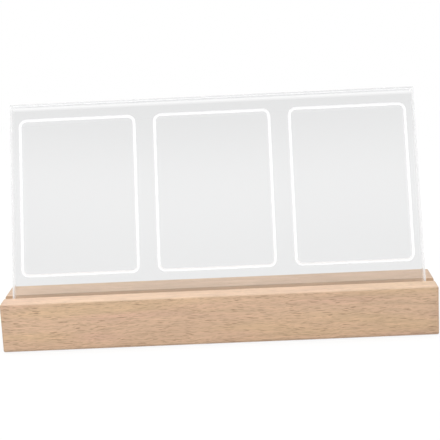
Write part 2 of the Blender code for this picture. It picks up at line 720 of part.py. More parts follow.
def make_power_board(rear_frame):
    """The power board, with its two screw holes and the parts soldered to it."""
    shape = bmesh.new()
    half_x, half_y = BOARD_LENGTH / 2, BOARD_HEIGHT / 2
    add_block(shape, (-half_x, -half_y, BOARD_INNER), (half_x, half_y, BOARD_OUTER))
    board = add_object("power_board", shape, rear_frame, finish("board_green", (0.05, 0.25, 0.12), 0.4))
    holes = bmesh.new()
    radius = BOARD_SCREW_SHANK_RADIUS + BORE_GAP
    profile = [(radius, BOARD_INNER - CUT_OVERRUN), (radius, BOARD_OUTER + CUT_OVERRUN)]
    for place in boss_places():
        add_turned(holes, profile, SMALL_SIDES, place)
    cut_away(board, "board_hole_cutter", holes, rear_frame)
    add_board_parts(rear_frame)


def make_board_screws(rear_frame):
    """Round-headed screws through the power board into the plate's bosses."""
    head = (BOARD_SCREW_HEAD_RADIUS, BOARD_SCREW_HEAD_HEIGHT, BOARD_SCREW_HEAD_HEIGHT)
    top = UNDER_BOARD - BOARD_SCREW_HEAD_HEIGHT
    length = BOARD_SCREW_LENGTH + BOARD_SCREW_HEAD_HEIGHT
    add_screws("board_screw", boss_places(), rear_frame, head, length, BOARD_SCREW_SHANK_RADIUS, top, 1)


def add_board_parts(rear_frame):
    """The controller, the capacitor and the resistors on the board's inner face."""
    chip = bmesh.new()
    size = CHIP_SIZE
    low = (CHIP_PLACE - size.x / 2, -size.y / 2, UNDER_BOARD - size.z)
    add_block(chip, low, (CHIP_PLACE + size.x / 2, size.y / 2, UNDER_BOARD))
    add_object("controller_chip", chip, rear_frame, finish("chip_black", (0.03, 0.03, 0.03), 0.35))
    can = bmesh.new()
    profile = [(CAPACITOR_RADIUS, UNDER_BOARD - CAPACITOR_LENGTH), (CAPACITOR_RADIUS, UNDER_BOARD)]
    add_turned(can, profile, ROUND_SIDES, (CAPACITOR_PLACE, 0))
    material = finish("capacitor_can", (0.75, 0.76, 0.78), 0.3, metallic=1.0)
    add_object("board_capacitor", can, rear_frame, material, smooth=True)
    resistor = bmesh.new()
    size = BOARD_RESISTOR_SIZE
    low = (-size.x / 2, -size.y / 2, UNDER_BOARD - size.z)
    add_block(resistor, low, (size.x / 2, size.y / 2, UNDER_BOARD))
    steps = evenly(BOARD_RESISTOR_COUNT, BOARD_RESISTOR_PITCH)
    spots = [(BOARD_RESISTOR_PLACE + step, BOARD_RESISTOR_DROP, 0) for step in steps]
    material = finish("board_resistor", (0.06, 0.06, 0.06), 0.4)
    add_copies("board_resistor", resistor, rear_frame, spots, material)


def make_supply_socket(rear_frame):
    """The socket's metal shell, open at the back, and the contact tongue inside it."""
    mouth = PLATE_OUTER - SOCKET_SET_BACK + SEAT_GAP
    middle = (SOCKET_PLACE, 0)
    shape = bmesh.new()
    add_prism(shape, stadium(SOCKET_WIDTH, SOCKET_HEIGHT, middle), ON_BOARD, mouth)
    material = finish("socket_steel", (0.70, 0.70, 0.70), 0.3, metallic=1.0)
    shell = add_object("usb_socket_shell", shape, rear_frame, material, smooth=True)
    well = bmesh.new()
    inner_width = SOCKET_WIDTH - 2 * SOCKET_WALL
    inner_height = SOCKET_HEIGHT - 2 * SOCKET_WALL
    add_prism(well, stadium(inner_width, inner_height, middle), ON_BOARD + SOCKET_WALL, mouth + CUT_OVERRUN)
    cut_away(shell, "socket_well_cutter", well, rear_frame)
    root_low = ON_BOARD + SOCKET_WALL + SEAT_GAP
    root_high = root_low + TONGUE_ROOT_LENGTH
    root = bmesh.new()
    outline = stadium(inner_width - 2 * SEAT_GAP, inner_height - 2 * SEAT_GAP, middle)
    add_prism(root, outline, root_low, root_high)
    material = finish("tongue_plastic", (0.08, 0.08, 0.08), 0.5)
    tongue = add_object("usb_socket_tongue", root, rear_frame, material)
    blade = bmesh.new()
    half_x, half_y = TONGUE_WIDTH / 2, TONGUE_THICKNESS / 2
    low = (SOCKET_PLACE - half_x, -half_y, root_low + TONGUE_ROOT_LENGTH / 2)
    add_block(blade, low, (SOCKET_PLACE + half_x, half_y, mouth - TONGUE_SET_BACK))
    join_on(tongue, "tongue_blade_guide", blade, rear_frame)


def make_push_button(rear_frame):
    """The switch on the board, and the cap and plunger that slide in along its axis."""
    shape = bmesh.new()
    half = SWITCH_SIZE / 2
    low = (BUTTON_PLACE - half, -half, ON_BOARD)
    add_block(shape, low, (BUTTON_PLACE + half, half, SWITCH_OUTER))
    switch = add_object("switch_body", shape, rear_frame, finish("switch_black", (0.04, 0.04, 0.04), 0.4))
    well = bmesh.new()
    radius = PLUNGER_RADIUS + BORE_GAP
    profile = [(radius, ON_BOARD + SWITCH_WELL_FLOOR), (radius, SWITCH_OUTER + CUT_OVERRUN)]
    add_turned(well, profile, ROUND_SIDES, (BUTTON_PLACE, 0))
    cut_away(switch, "switch_well_cutter", well, rear_frame)
    slide = add_frame("button_slide", (BUTTON_PLACE, 0, 0), 0, rear_frame)
    plunger = bmesh.new()
    stem_end = PLUNGER_OUTER + PLUNGER_STEM_LENGTH
    profile = [(PLUNGER_RADIUS, PLUNGER_INNER), (PLUNGER_RADIUS, PLUNGER_OUTER)]
    profile += [(PLUNGER_STEM_RADIUS, PLUNGER_OUTER), (PLUNGER_STEM_RADIUS, stem_end)]
    add_turned(plunger, profile, ROUND_SIDES)
    material = finish("plunger_white", (0.80, 0.80, 0.78), 0.4)
    add_object("switch_plunger", plunger, slide, material, smooth=True)
    cap = bmesh.new()
    flange = BUTTON_RADIUS + BUTTON_FLANGE
    profile = [(flange, FLANGE_INNER), (flange, FLANGE_OUTER), (BUTTON_RADIUS, FLANGE_OUTER)]
    for step in range(EDGE_STEPS + 1):
        angle = step / EDGE_STEPS * math.pi / 2
        inset = BUTTON_EDGE_ROUND * (1 - math.cos(angle))
        rise = BUTTON_EDGE_ROUND * (math.sin(angle) - 1)
        profile.append((BUTTON_RADIUS - inset, BUTTON_PROUD + rise))
    add_turned(cap, profile, FINE_SIDES)
    material = finish("button_plastic", (0.10, 0.10, 0.105), 0.35)
    button = add_object("button_cap", cap, slide, material, smooth=True)
    bore = bmesh.new()
    radius = PLUNGER_STEM_RADIUS + BORE_GAP
    add_turned(bore, [(radius, FLANGE_INNER - CUT_OVERRUN), (radius, stem_end + SEAT_GAP)], ROUND_SIDES)
    cut_away(button, "button_bore_cutter", bore, slide)


def make_wire_header(rear_frame):
    """The header on the board, open downwards, and the wires' plug in it."""
    size = HEADER_SIZE
    low = (-size.x / 2, -size.y, HEADER_FRONT)
    shape = bmesh.new()
    add_block(shape, low, (size.x / 2, 0, UNDER_BOARD))
    header = add_object("wire_header", shape, rear_frame, finish("header_nylon", (0.85, 0.83, 0.76), 0.5))
    well = bmesh.new()
    low = (-size.x / 2 + HEADER_WALL, -HEADER_WELL_DEPTH, HEADER_FRONT + HEADER_WALL)
    add_block(well, low, (size.x / 2 - HEADER_WALL, CUT_OVERRUN, UNDER_BOARD - HEADER_WALL))
    cut_away(header, "header_well_cutter", well, rear_frame)
    plug = bmesh.new()
    gap = HEADER_WALL + SEAT_GAP
    low = (-size.x / 2 + gap, -HEADER_WELL_DEPTH + SEAT_GAP, HEADER_FRONT + gap)
    add_block(plug, low, (size.x / 2 - gap, plug_drop(), UNDER_BOARD - gap))
    add_object("wire_plug", plug, rear_frame, finish("plug_nylon", (0.88, 0.87, 0.82), 0.5))


def plug_drop():
    """How far the plug's lower end lies below the port's middle line."""
    return PLUG_LENGTH - HEADER_WELL_DEPTH + SEAT_GAP


def smooth_route(corners, spacing):
    """Evenly spaced points of a smooth curve through the corners."""
    route = []
    padded = [corners[0]] + corners + [corners[-1]]
    for before, start, end, after in zip(padded, padded[1:], padded[2:], padded[3:]):
        count = max(1, round((end - start).length / spacing))
        for step in range(count):
            share = step / count
            bend_in = (end - before) / 2
            bend_out = (after - start) / 2
            square, cube = share ** 2, share ** 3
            point = start * (2 * cube - 3 * square + 1) + end * (3 * square - 2 * cube)
            point += bend_in * (cube - 2 * square + share) + bend_out * (cube - square)
            route.append(point)
    route.append(corners[-1])
    return route


def make_wire(name, place, colour, base_frame):
    """One wire, from the plug down, forward along the cover and up to the strip's board."""
    plug_y = REAR_FACE + (UNDER_BOARD + HEADER_FRONT) / 2
    strip_y = PANEL_SEAT.y
    start_z = PORT_HEIGHT - plug_drop() - SEAT_GAP
    end_z = LED_BOARD_LOW - 2 * SEAT_GAP - JOINT_HEIGHT
    run_z = COVER_TOP + WIRE_FLOOR_GAP + WIRE_RADIUS
    corners = [
        Vector((place, plug_y, start_z)),
        Vector((place, plug_y, start_z - WIRE_RADIUS)),
        Vector((place, plug_y - WIRE_BEND, run_z)),
        Vector((place, strip_y + WIRE_BEND, run_z)),
        Vector((place, strip_y, end_z - WIRE_RADIUS)),
        Vector((place, strip_y, end_z)),
    ]
    curve = bpy.data.curves.new(name, "CURVE")
    curve.dimensions = "3D"
    curve.bevel_depth = WIRE_RADIUS
    curve.bevel_resolution = WIRE_BEVEL_STEPS
    curve.use_fill_caps = True
    points = smooth_route(corners, 2 * WIRE_RADIUS)
    spline = curve.splines.new("POLY")
    spline.points.add(len(points) - 1)
    for knot, point in zip(spline.points, points):
        knot.co = (*point, 1)
    curve.materials.append(finish(name, colour, 0.45))
    wire = bpy.data.objects.new(name, curve)
    wire.parent = base_frame
    bpy.context.scene.collection.objects.link(wire)


def make_wires(base_frame):
    """The two wires and their solder joints under the strip's board."""
    places = evenly(2, WIRE_SPACING)
    joint = bmesh.new()
    top = LED_BOARD_LOW - SEAT_GAP
    add_turned(joint, [(JOINT_TIP_RADIUS, top - JOINT_HEIGHT), (JOINT_RADIUS, top)], SMALL_SIDES)
    spots = [(place, PANEL_SEAT.y, 0) for place in places]
    material = finish("solder", (0.70, 0.71, 0.72), 0.3, metallic=1.0)
    add_copies("solder_joint", joint, base_frame, spots, material, smooth=True)
    make_wire("red_wire", places[0], (0.55, 0.04, 0.03), base_frame)
    make_wire("black_wire", places[1], (0.03, 0.03, 0.03), base_frame)


def main():
    clear_scene()
    base_frame = add_frame("base_frame", (0, 0, 0))
    panel_frame = add_frame("panel_slide", PANEL_SEAT, -PANEL_LEAN, base_frame)
    rear_frame = add_frame("rear_frame", (0, REAR_FACE, PORT_HEIGHT), -math.pi / 2, base_frame)
    make_wooden_base(base_frame, panel_frame, rear_frame)
    make_acrylic_panel(panel_frame)
    make_light_strip(base_frame)
    make_bottom_cover(base_frame)
    make_anti_slip_pad(base_frame)
    make_cover_screws(base_frame)
    make_rear_plate(rear_frame)
    make_plate_screws(rear_frame)
    make_power_board(rear_frame)
    make_board_screws(rear_frame)
    make_supply_socket(rear_frame)
    make_push_button(rear_frame)
    make_wire_header(rear_frame)
    make_wires(base_frame)


main()
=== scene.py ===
"""Looks of the acrylic LED photo frame.

The file is laid out as a Blender add-on and is run as a script. It loads the measured model as
a fixed frame, gives each piece its finish, lays the frosted lines into the panel's engraved
grooves, and sets a plain studio round the object. X runs along the base, Y from its front to
its back, and Z up. All lengths are in metres.
"""

import json
import math

import bpy
from mathutils import Matrix, Vector


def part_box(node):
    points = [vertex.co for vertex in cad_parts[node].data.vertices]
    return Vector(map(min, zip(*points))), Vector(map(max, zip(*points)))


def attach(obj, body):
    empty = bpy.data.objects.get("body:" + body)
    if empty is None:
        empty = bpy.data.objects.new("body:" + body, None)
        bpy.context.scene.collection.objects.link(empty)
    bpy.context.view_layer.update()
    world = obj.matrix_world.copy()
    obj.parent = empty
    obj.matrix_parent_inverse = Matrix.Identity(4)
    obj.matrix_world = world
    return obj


bl_info = {
    "name": "Acrylic Photo Frame Looks",
    "version": (1, 0, 0),
    "blender": (4, 5, 0),
    "location": "View3D > Sidebar > Photo Frame",
    "description": "Finishes, frosted outlines and a plain studio for the acrylic LED photo frame",
    "category": "Object",
}

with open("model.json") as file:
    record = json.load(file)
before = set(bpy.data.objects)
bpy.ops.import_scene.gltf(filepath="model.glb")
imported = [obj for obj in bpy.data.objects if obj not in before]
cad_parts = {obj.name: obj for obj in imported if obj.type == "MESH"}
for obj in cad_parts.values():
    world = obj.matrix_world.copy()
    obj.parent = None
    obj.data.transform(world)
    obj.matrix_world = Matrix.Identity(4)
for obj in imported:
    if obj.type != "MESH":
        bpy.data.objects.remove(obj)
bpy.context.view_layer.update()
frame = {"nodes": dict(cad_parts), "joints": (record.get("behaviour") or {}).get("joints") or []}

# A millimetre in metres, and the usual width of the soft step between two finishes
MM = 0.001
STEP = 0.1 * MM
WHITE = (1.0, 1.0, 1.0)

# The ways up and back from the leaning panel, and how far it reaches along them and to its side
LEAN_UP = Vector(next(joint["axis"] for joint in frame["joints"] if joint["name"] == "panel_lift"))
LEAN_BACK = Vector((1, 0, 0)).cross(LEAN_UP) * -1
PANEL_CORNERS = [vertex.co for vertex in frame["nodes"]["acrylic_panel"].data.vertices]
PANEL_FOOT = min(corner.dot(LEAN_UP) for corner in PANEL_CORNERS)
PANEL_TOP = max(corner.dot(LEAN_UP) for corner in PANEL_CORNERS)
PANEL_FRONT = min(corner.dot(LEAN_BACK) for corner in PANEL_CORNERS)
PANEL_REAR = max(corner.dot(LEAN_BACK) for corner in PANEL_CORNERS)
PANEL_MIDDLE = (PANEL_FRONT + PANEL_REAR) / 2
PANEL_SIDE = max(corner.x for corner in PANEL_CORNERS)


def setting(kind, **form):
    """A way to write properties of one kind, each with a name, a description and a default."""

    def write(name, description, default, **more):
        return kind(name=name, description=description, default=default, **{**form, **more})

    return write


# What a user can change, in metres, radians, watts, colours and plain numbers
length = setting(bpy.props.FloatProperty, unit="LENGTH")
place = setting(bpy.props.FloatVectorProperty, unit="LENGTH")
angle = setting(bpy.props.FloatProperty, subtype="ANGLE")
power = setting(bpy.props.FloatProperty, unit="POWER")
colour = setting(bpy.props.FloatVectorProperty, subtype="COLOR", size=3, min=0, max=1)
amount = setting(bpy.props.FloatProperty, subtype="FACTOR", min=0, max=1)
number = setting(bpy.props.IntProperty, min=1)


class BeechLooks(bpy.types.PropertyGroup):
    """Colours and sizes of the beech's grain, and of the light and shade painted on it."""

    body: colour("Wood", "Main colour of the beech", (0.632, 0.430, 0.286))
    pink: colour("Pink Heart", "Colour of its pinker patches", (0.639, 0.418, 0.291))
    straw: colour("Straw", "Colour of its yellower patches", (0.630, 0.436, 0.269))
    fleck: colour("Flecks", "Colour of the short dark flecks", (0.385, 0.238, 0.143))
    # Drift is painted shade that darkens the board towards its right end
    painted_shade_drift: amount("Drift", "How much darker the board gets per metre towards its right end", 0.30)
    end_grain: colour("End Grain", "Colour of the cut ends", (0.520, 0.335, 0.210))
    # Worn Edges is a painted highlight on the rounded edges and the lips of the slot
    worn: colour("Worn Edges", "Colour of the rounded edges", (0.740, 0.545, 0.390))
    # Pale Top is a painted sheen that makes the top face paler
    pale: colour("Pale Top", "Colour of the paler top face", (0.640, 0.475, 0.350))
    # Slot is painted light: a lighter, warmer colour that stands in for light on the shaded walls of the
    # slot
    painted_slot_light: colour("Slot", "Colour of the fresh-sawn wood in the slot", (0.840, 0.566, 0.370))
    fleck_length: length("Fleck Length", "Usual room of a fleck along the fibre", 6.6 * MM)
    fleck_width: length("Fleck Width", "Usual room of a fleck across the fibre", 0.54 * MM)
    ring_width: length("Ring Width", "Width of a year ring on the cut ends", 2.6 * MM)
    sway: length("Fibre Sway", "How far the fibre strays from straight", 5.0 * MM)
    edge_highlight_reach: length("Edge Round", "Reach of the lighter edges", 0.9 * MM)


class PanelLooks(bpy.types.PropertyGroup):
    """Colours and sizes of the clear panel and its engraved outlines."""

    tint: colour("Acrylic", "Light that the panel lets through", (0.812, 0.814, 0.816))
    edge: colour("Satin Edges", "Colour of its satin bevels and rims", (0.540, 0.542, 0.545))
    edge_share: amount("Edge Frosting", "How matt the bevels and rims are", 0.90)
    inner_clear: amount("Inner Clearness", "How clear its side bevels are where they begin", 0.806)
    outer_clear: amount("Outer Clearness", "How clear its side bevels are at the rim", 0.496)
    inner_glow: amount("Inner Glow", "Light that its side bevels give off where they begin", 0.36)
    outer_glow: amount("Outer Glow", "Light that its side bevels give off at the rim", 0.84)
    front_glow: amount("Front Glow", "Light that its front top bevel gives off", 0.06)
    arris_glow: amount("Arris Glow", "Light that the lower edge of that bevel gives off", 0.45)
    rear_glow: amount("Rear Glow", "Light that its rear top bevel gives off", 0.95)
    # Bright Band is a painted highlight: the panel is lighter below its top bevel
    painted_highlight_band: length("Bright Band", "Reach of the lighter band below the top bevel", 2.2 * MM)
    carried: colour("Carried Light", "Light that the sheet carries far along inside it", WHITE)
    most_turns: amount("Turns Inside", "Turns of a ray before it counts as carried light", 4.5, max=12.0)
    frost: colour("Frosted Line", "Colour of the engraved lines", (0.870, 0.872, 0.875))
    glow: amount("Line Glow", "Light that the engraved lines give off", 0.13)
    rear_line_glow: amount("Rear Line Glow", "Light that they give off into the panel", 1.15, max=2.0)
    outlines: number("Outlines", "Number of outlines side by side", 3)
    side_margin: length("Side Margin", "From the panel's side to the first line's middle", 5.65 * MM)
    gap: length("Gap", "Between the middles of two outlines' near lines", 10.6 * MM)
    rise: length("Rise", "From the panel's foot to the lower line's middle", 22.7 * MM)
    top_margin: length("Top Margin", "From the upper line's middle to the panel's top", 9.1 * MM)
    corner_radius: length("Corner Radius", "Round of the line's middle at a corner", 3.4 * MM)
    line_width: length("Line Width", "Width of an engraved line", 1.5 * MM)
    line_depth: length("Line Depth", "Depth of an engraved line", 0.5 * MM)
    line_gap: length("Line Clearance", "Between the frosted line and its groove", 0.03 * MM)
    line_dish: length("Line Dish", "How far the line's middle is sunk", 0.12 * MM)
    bevel: length("Bevel", "Width of the panel's bevelled edges", 1.5 * MM)


class FittingLooks(bpy.types.PropertyGroup):
    """Colours of the plastic, metal and electronic pieces."""

    black_plastic: colour("Black Plastic", "Rear plate and bottom cover", (0.030, 0.030, 0.033))
    worn_plastic: colour("Worn Plastic", "Its rubbed edges", (0.075, 0.075, 0.080))
    button: colour("Button", "Satin push button", (0.050, 0.050, 0.053))
    zinc: colour("Zinc", "Zinc-plated screws", (0.700, 0.705, 0.690))
    # Dark Recess is painted shade in the screws' recesses and the capacitor's scored cross, and the dark
    # spots on plated metal and solder
    recess_shade_and_grime: colour("Dark Recess", "Dark inside of the screws' recesses", (0.090, 0.085, 0.080))
    nickel: colour("Nickel", "Plated socket shell", (0.660, 0.655, 0.640))
    gold: colour("Gold", "Contacts of the socket", (0.830, 0.620, 0.260))
    foam: colour("Foam", "Anti-slip pad", (0.024, 0.024, 0.026))
    strip: colour("Strip Board", "White mask of the light strip's board", (0.820, 0.830, 0.815))
    strip_edge: colour("Strip Edge", "Bare edge of that board", (0.620, 0.550, 0.360))
    copper: colour("Copper", "Bare copper", (0.780, 0.430, 0.280))
    diode_case: colour("Diode Case", "White case of a light diode", (0.860, 0.860, 0.840))
    phosphor: colour("Phosphor", "Yellow lens of a light diode", (0.850, 0.690, 0.160))
    board: colour("Board", "Green mask of the power board", (0.020, 0.165, 0.070))
    board_edge: colour("Board Edge", "Bare glass-fibre edge of that board", (0.420, 0.380, 0.200))
    trace: colour("Trace", "Covered traces of the power board", (0.035, 0.240, 0.100))
    nylon: colour("Nylon", "Natural nylon of the plug and header", (0.800, 0.780, 0.690))
    red: colour("Red Wire", "Insulation of the supply wire", (0.480, 0.022, 0.016))
    black: colour("Black Wire", "Insulation of the return wire", (0.014, 0.014, 0.015))
    solder: colour("Solder", "Bright solder", (0.720, 0.725, 0.730))
    can: colour("Capacitor Can", "Bare aluminium can", (0.760, 0.765, 0.770))
    ceramic: colour("Resistor", "Black body of a resistor", (0.022, 0.022, 0.024))
    plunger: colour("Plunger", "White plunger of the switch", (0.720, 0.720, 0.690))


class StudioLooks(bpy.types.PropertyGroup):
    """Camera, light and floor of the plain studio."""

    camera_place: place("Camera", "Place of the camera", (0.0179, -0.5907, 0.1889))
    camera_yaw: angle("Yaw", "Turn of the camera to the left", math.radians(1.500))
    camera_pitch: angle("Pitch", "Tilt of the camera down", math.radians(12.277))
    camera_roll: angle("Roll", "Roll of the camera", math.radians(-2.858))
    focal_length: bpy.props.FloatProperty(
        name="Focal Length", description="In millimetres", default=97.44, subtype="DISTANCE_CAMERA"
    )
    sky: amount("Sky", "Level of the light from all round", 0.68, max=4.0)
    window: amount("Reflected Window", "Brightness of the window in front of the panel", 1.8, max=4.0)
    window_foot: angle("Window Foot", "Height below which it is half as bright", math.radians(25.0))
    window_middle: angle("Window Middle", "Height of its brightest part", math.radians(29.5))
    window_top: angle("Window Top", "Height at which the wall above begins", math.radians(34.0))
    wall: amount("Reflected Wall", "Brightness of the wall above the window", 0.2, max=4.0)
    overhead: power("Overhead Lamp", "Power of the lamp above, in watts", 14.5)
    overhead_place: place("Overhead Place", "Place of the lamp above", (-0.20, 0.05, 1.30))
    overhead_width: length("Overhead Width", "Width of the lamp above", 1.4)
    front: power("Front Lamp", "Power of the lamp at the front left, in watts", 1.8)
    front_place: place("Front Place", "Place of the lamp at the front left", (-0.90, -0.90, 1.10))
    front_width: length("Front Width", "Width of the lamp at the front left", 1.2)
    floor: colour("Floor", "Colour of the floor", (0.860, 0.860, 0.860))
    floor_width: length("Floor Width", "Width of the floor", 60.0)
    floor_glow: amount("Floor Glow", "Share of the floor's white that no shadow touches", 0.86)
    fade_start: length("Fade Start", "From the object to where the floor starts to whiten", 0.25)
    fade_end: length("Fade End", "From the object to where the floor is plain white", 0.90)


def node_operator(operation):
    """A Python operator that adds a Math node, and its reflected form."""

    def given(self, other):
        return self.finish.math(operation, self, other)

    def reflected(self, other):
        return self.finish.math(operation, other, self)

    return given, reflected


class Value:
    """A node's output that takes part in Python expressions; each operator adds a Math node."""

    def __init__(self, finish, socket):
        self.finish = finish
        self.socket = socket

    def __abs__(self):
        return self.finish.math("ABSOLUTE", self)

    __add__, __radd__ = node_operator("ADD")
    __sub__, __rsub__ = node_operator("SUBTRACT")
    __mul__, __rmul__ = node_operator("MULTIPLY")
    __truediv__, __rtruediv__ = node_operator("DIVIDE")
    __mod__, __rmod__ = node_operator("FLOORED_MODULO")


class Finish:
    """The nodes of one material or of the world."""

    def __init__(self, owner):
        owner.use_nodes = True
        self.owner = owner
        self.tree = owner.node_tree
        self.tree.nodes.clear()
        self.coordinates = self.node("ShaderNodeTexCoord")

    def node(self, kind, settings=None, inputs=None):
        """Add a node of this kind: its settings first, then its sockets' values or links."""
        node = self.tree.nodes.new(kind)
        for name, choice in (settings or {}).items():
            setattr(node, name, choice)
        for name, given in (inputs or {}).items():
            if isinstance(given, Value):
                self.tree.links.new(given.socket, node.inputs[name])
            else:
                node.inputs[name].default_value = given
        return node

    def value(self, node, output=0):
        """One output of a node as a value."""
        return Value(self, node.outputs[output])

    def math(self, operation, first, second=0.0):
        """One Math node."""
        return self.value(self.node("ShaderNodeMath", {"operation": operation}, {0: first, 1: second}))

    def place(self):
        """The point in object coordinates, which are the frame's own."""
        return self.value(self.coordinates, "Object")

    def parts(self, vector):
        """A vector's X, Y and Z."""
        node = self.node("ShaderNodeSeparateXYZ", inputs={0: vector})
        return [self.value(node, axis) for axis in range(3)]

    def point(self, x=0.0, y=0.0, z=0.0):
        """A vector from three values."""
        return self.value(self.node("ShaderNodeCombineXYZ", inputs={0: x, 1: y, 2: z}))

    def stretched(self, per_metre):
        """The point with each axis scaled, as pattern cells per metre."""
        inputs = {0: self.place(), 1: per_metre}
        return self.value(self.node("ShaderNodeVectorMath", {"operation": "MULTIPLY"}, inputs))

    def noise(self, vector, detail=2.0, roughness=0.5):
        """Smooth noise with one cell per unit of the vector."""
        inputs = {"Vector": vector, "Scale": 1.0, "Detail": detail, "Roughness": roughness}
        return self.value(self.node("ShaderNodeTexNoise", inputs=inputs))

    def speckle(self, per_metre, detail=2.0, roughness=0.5):
        """Even noise with this many cells per metre."""
        return self.noise(self.stretched((per_metre, per_metre, per_metre)), detail, roughness)

    def cells(self, vector, randomness=1.0):
        """The distance to the nearest cell's middle, and that cell's random numbers."""
        inputs = {"Vector": vector, "Scale": 1.0, "Randomness": randomness}
        node = self.node("ShaderNodeTexVoronoi", inputs=inputs)
        return self.value(node, "Distance"), self.parts(self.value(node, "Color"))

    def ramp(self, value, low, high, start=0.0, end=1.0):
        """A smooth step from start at low to end at high."""
        inputs = {"Value": value, "From Min": low, "From Max": high, "To Min": start, "To Max": end}
        return self.value(self.node("ShaderNodeMapRange", {"interpolation_type": "SMOOTHSTEP"}, inputs))

    def radius(self, first, second):
        """The distance from an axis, from the distances along two lines across it."""
        return self.math("SQRT", first * first + second * second)

    def mix(self, share, first, second):
        """A colour between two colours, which have sockets 6 and 7 and output 2 of the node."""
        inputs = {0: share, 6: first, 7: second}
        for socket in (6, 7):
            if not isinstance(inputs[socket], Value):
                inputs[socket] = (*inputs[socket], 1.0)
        return self.value(self.node("ShaderNodeMix", {"data_type": "RGBA"}, inputs), 2)

    def dimmed(self, tone, level):
        """A colour multiplied by a number."""
        inputs = {0: tone if isinstance(tone, Value) else tuple(tone), "Scale": level}
        return self.value(self.node("ShaderNodeVectorMath", {"operation": "SCALE"}, inputs))

    def bump(self, height, depth):
        """A normal from a height of 0 to 1 over this depth in metres."""
        return self.value(self.node("ShaderNodeBump", inputs={"Height": height, "Distance": depth}))

    def edge_distance(self, low, high):
        """Minus the distance to the nearest edge of a box, near its surface."""
        gaps = []
        for axis, part in enumerate(self.parts(self.place())):
            middle, half = (low[axis] + high[axis]) / 2, (high[axis] - low[axis]) / 2
            gaps.append(abs(part - middle) - half)
        smaller = self.math("MINIMUM", gaps[0], gaps[1])
        larger = self.math("MAXIMUM", gaps[0], gaps[1])
        return self.math("MAXIMUM", smaller, self.math("MINIMUM", larger, gaps[2]))

    def rays(self, *kinds):
        """1 for rays of these kinds and 0 for all others."""
        path = self.node("ShaderNodeLightPath")
        share = self.value(path, f"Is {kinds[0]} Ray")
        for kind in kinds[1:]:
            share = self.math("MAXIMUM", share, self.value(path, f"Is {kind} Ray"))
        return share

    def plain(self, kind, tone):
        """A shader of this kind in one colour."""
        return self.value(self.node(kind, inputs={"Color": (*tone, 1.0)}))

    def principled(self, **sockets):
        """A Principled shader; underscores stand for the spaces in its sockets' names."""
        inputs = {name.replace("_", " "): given for name, given in sockets.items()}
        for name, given in inputs.items():
            if name.endswith("Color") and not isinstance(given, Value):
                inputs[name] = (*given, 1.0)
        return self.value(self.node("ShaderNodeBsdfPrincipled", inputs=inputs))

    def blend(self, share, first, second):
        """A shader between two shaders."""
        return self.value(self.node("ShaderNodeMixShader", inputs={0: share, 1: first, 2: second}))

    def surface(self, **sockets):
        """Close the material with one Principled shader."""
        return self.close(self.principled(**sockets))

    def close(self, shader):
        """Send a shader to the output, and give what owns the nodes."""
        kind = "World" if isinstance(self.owner, bpy.types.World) else "Material"
        self.node("ShaderNodeOutput" + kind, inputs={"Surface": shader})
        return self.owner


def material(name):
    """A new, empty material."""
    return Finish(bpy.data.materials.new(name))


def dress(finished, *nodes):
    """Give CAD nodes a material in their own slots."""
    for name in nodes:
        for slot in frame["nodes"][name].material_slots:
            slot.material = finished


def numbered(stem):
    """The names of a repeated node's copies."""
    return sorted(name for name in frame["nodes"] if name.removeprefix(stem + "_").isdigit())


def middle_of(node):
    """The middle of a node's box."""
    low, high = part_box(node)
    return (low + high) / 2


def between(share, first, second):
    """A number on the way from the first to the second."""
    return first + share * (second - first)


def reach(direction, y, z):
    """How far a point lies along a direction that has no X."""
    return y * direction.y + z * direction.z


def from_lane(way, start, pitch):
    """The distance to the middle of the nearest of equal lanes, the first of them from start."""
    return abs((way - start) % pitch - pitch / 2)


def deselect():
    """Leave nothing selected, so that the next operator acts on what it adds alone."""
    if bpy.context.object and bpy.context.object.mode != "OBJECT":
        bpy.ops.object.mode_set(mode="OBJECT")
    bpy.ops.object.select_all(action="DESELECT")


def seat_in_place(piece):
    """Put a piece's place, turn and size into its mesh."""
    deselect()
    piece.select_set(True)
    bpy.context.view_layer.objects.active = piece
    bpy.ops.object.transform_apply(location=True, rotation=True, scale=True)


def flecks(wood, room, ragged, widest, chance):
    """Short dark marks, one to a room; one of its three chances makes a few darker than the rest."""
    distance, chances = wood.cells(room, randomness=0.88)
    strength = wood.ramp(chances[chance], 0.70, 0.95, 0.40, 1.0)
    return wood.ramp(distance + ragged, widest, 0.20) * strength


def cut_end(wood, looks, y, z, pores):
    """The colour of a cut end, from the way to the tree's heart: year rings, rays and pores."""
    radius = wood.radius(y, z)
    ring = radius / looks.ring_width % 1.0
    late = wood.ramp(ring, 0.35, 0.97) * wood.ramp(ring, 1.00, 0.98)
    turn = wood.math("ARCTAN2", y, z)
    rays = wood.noise(wood.point(turn * 130, radius * 240), roughness=0.6)
    return wood.dimmed(looks.end_grain, 0.82 + pores * 0.22 + rays * 0.26 - late * 0.16)


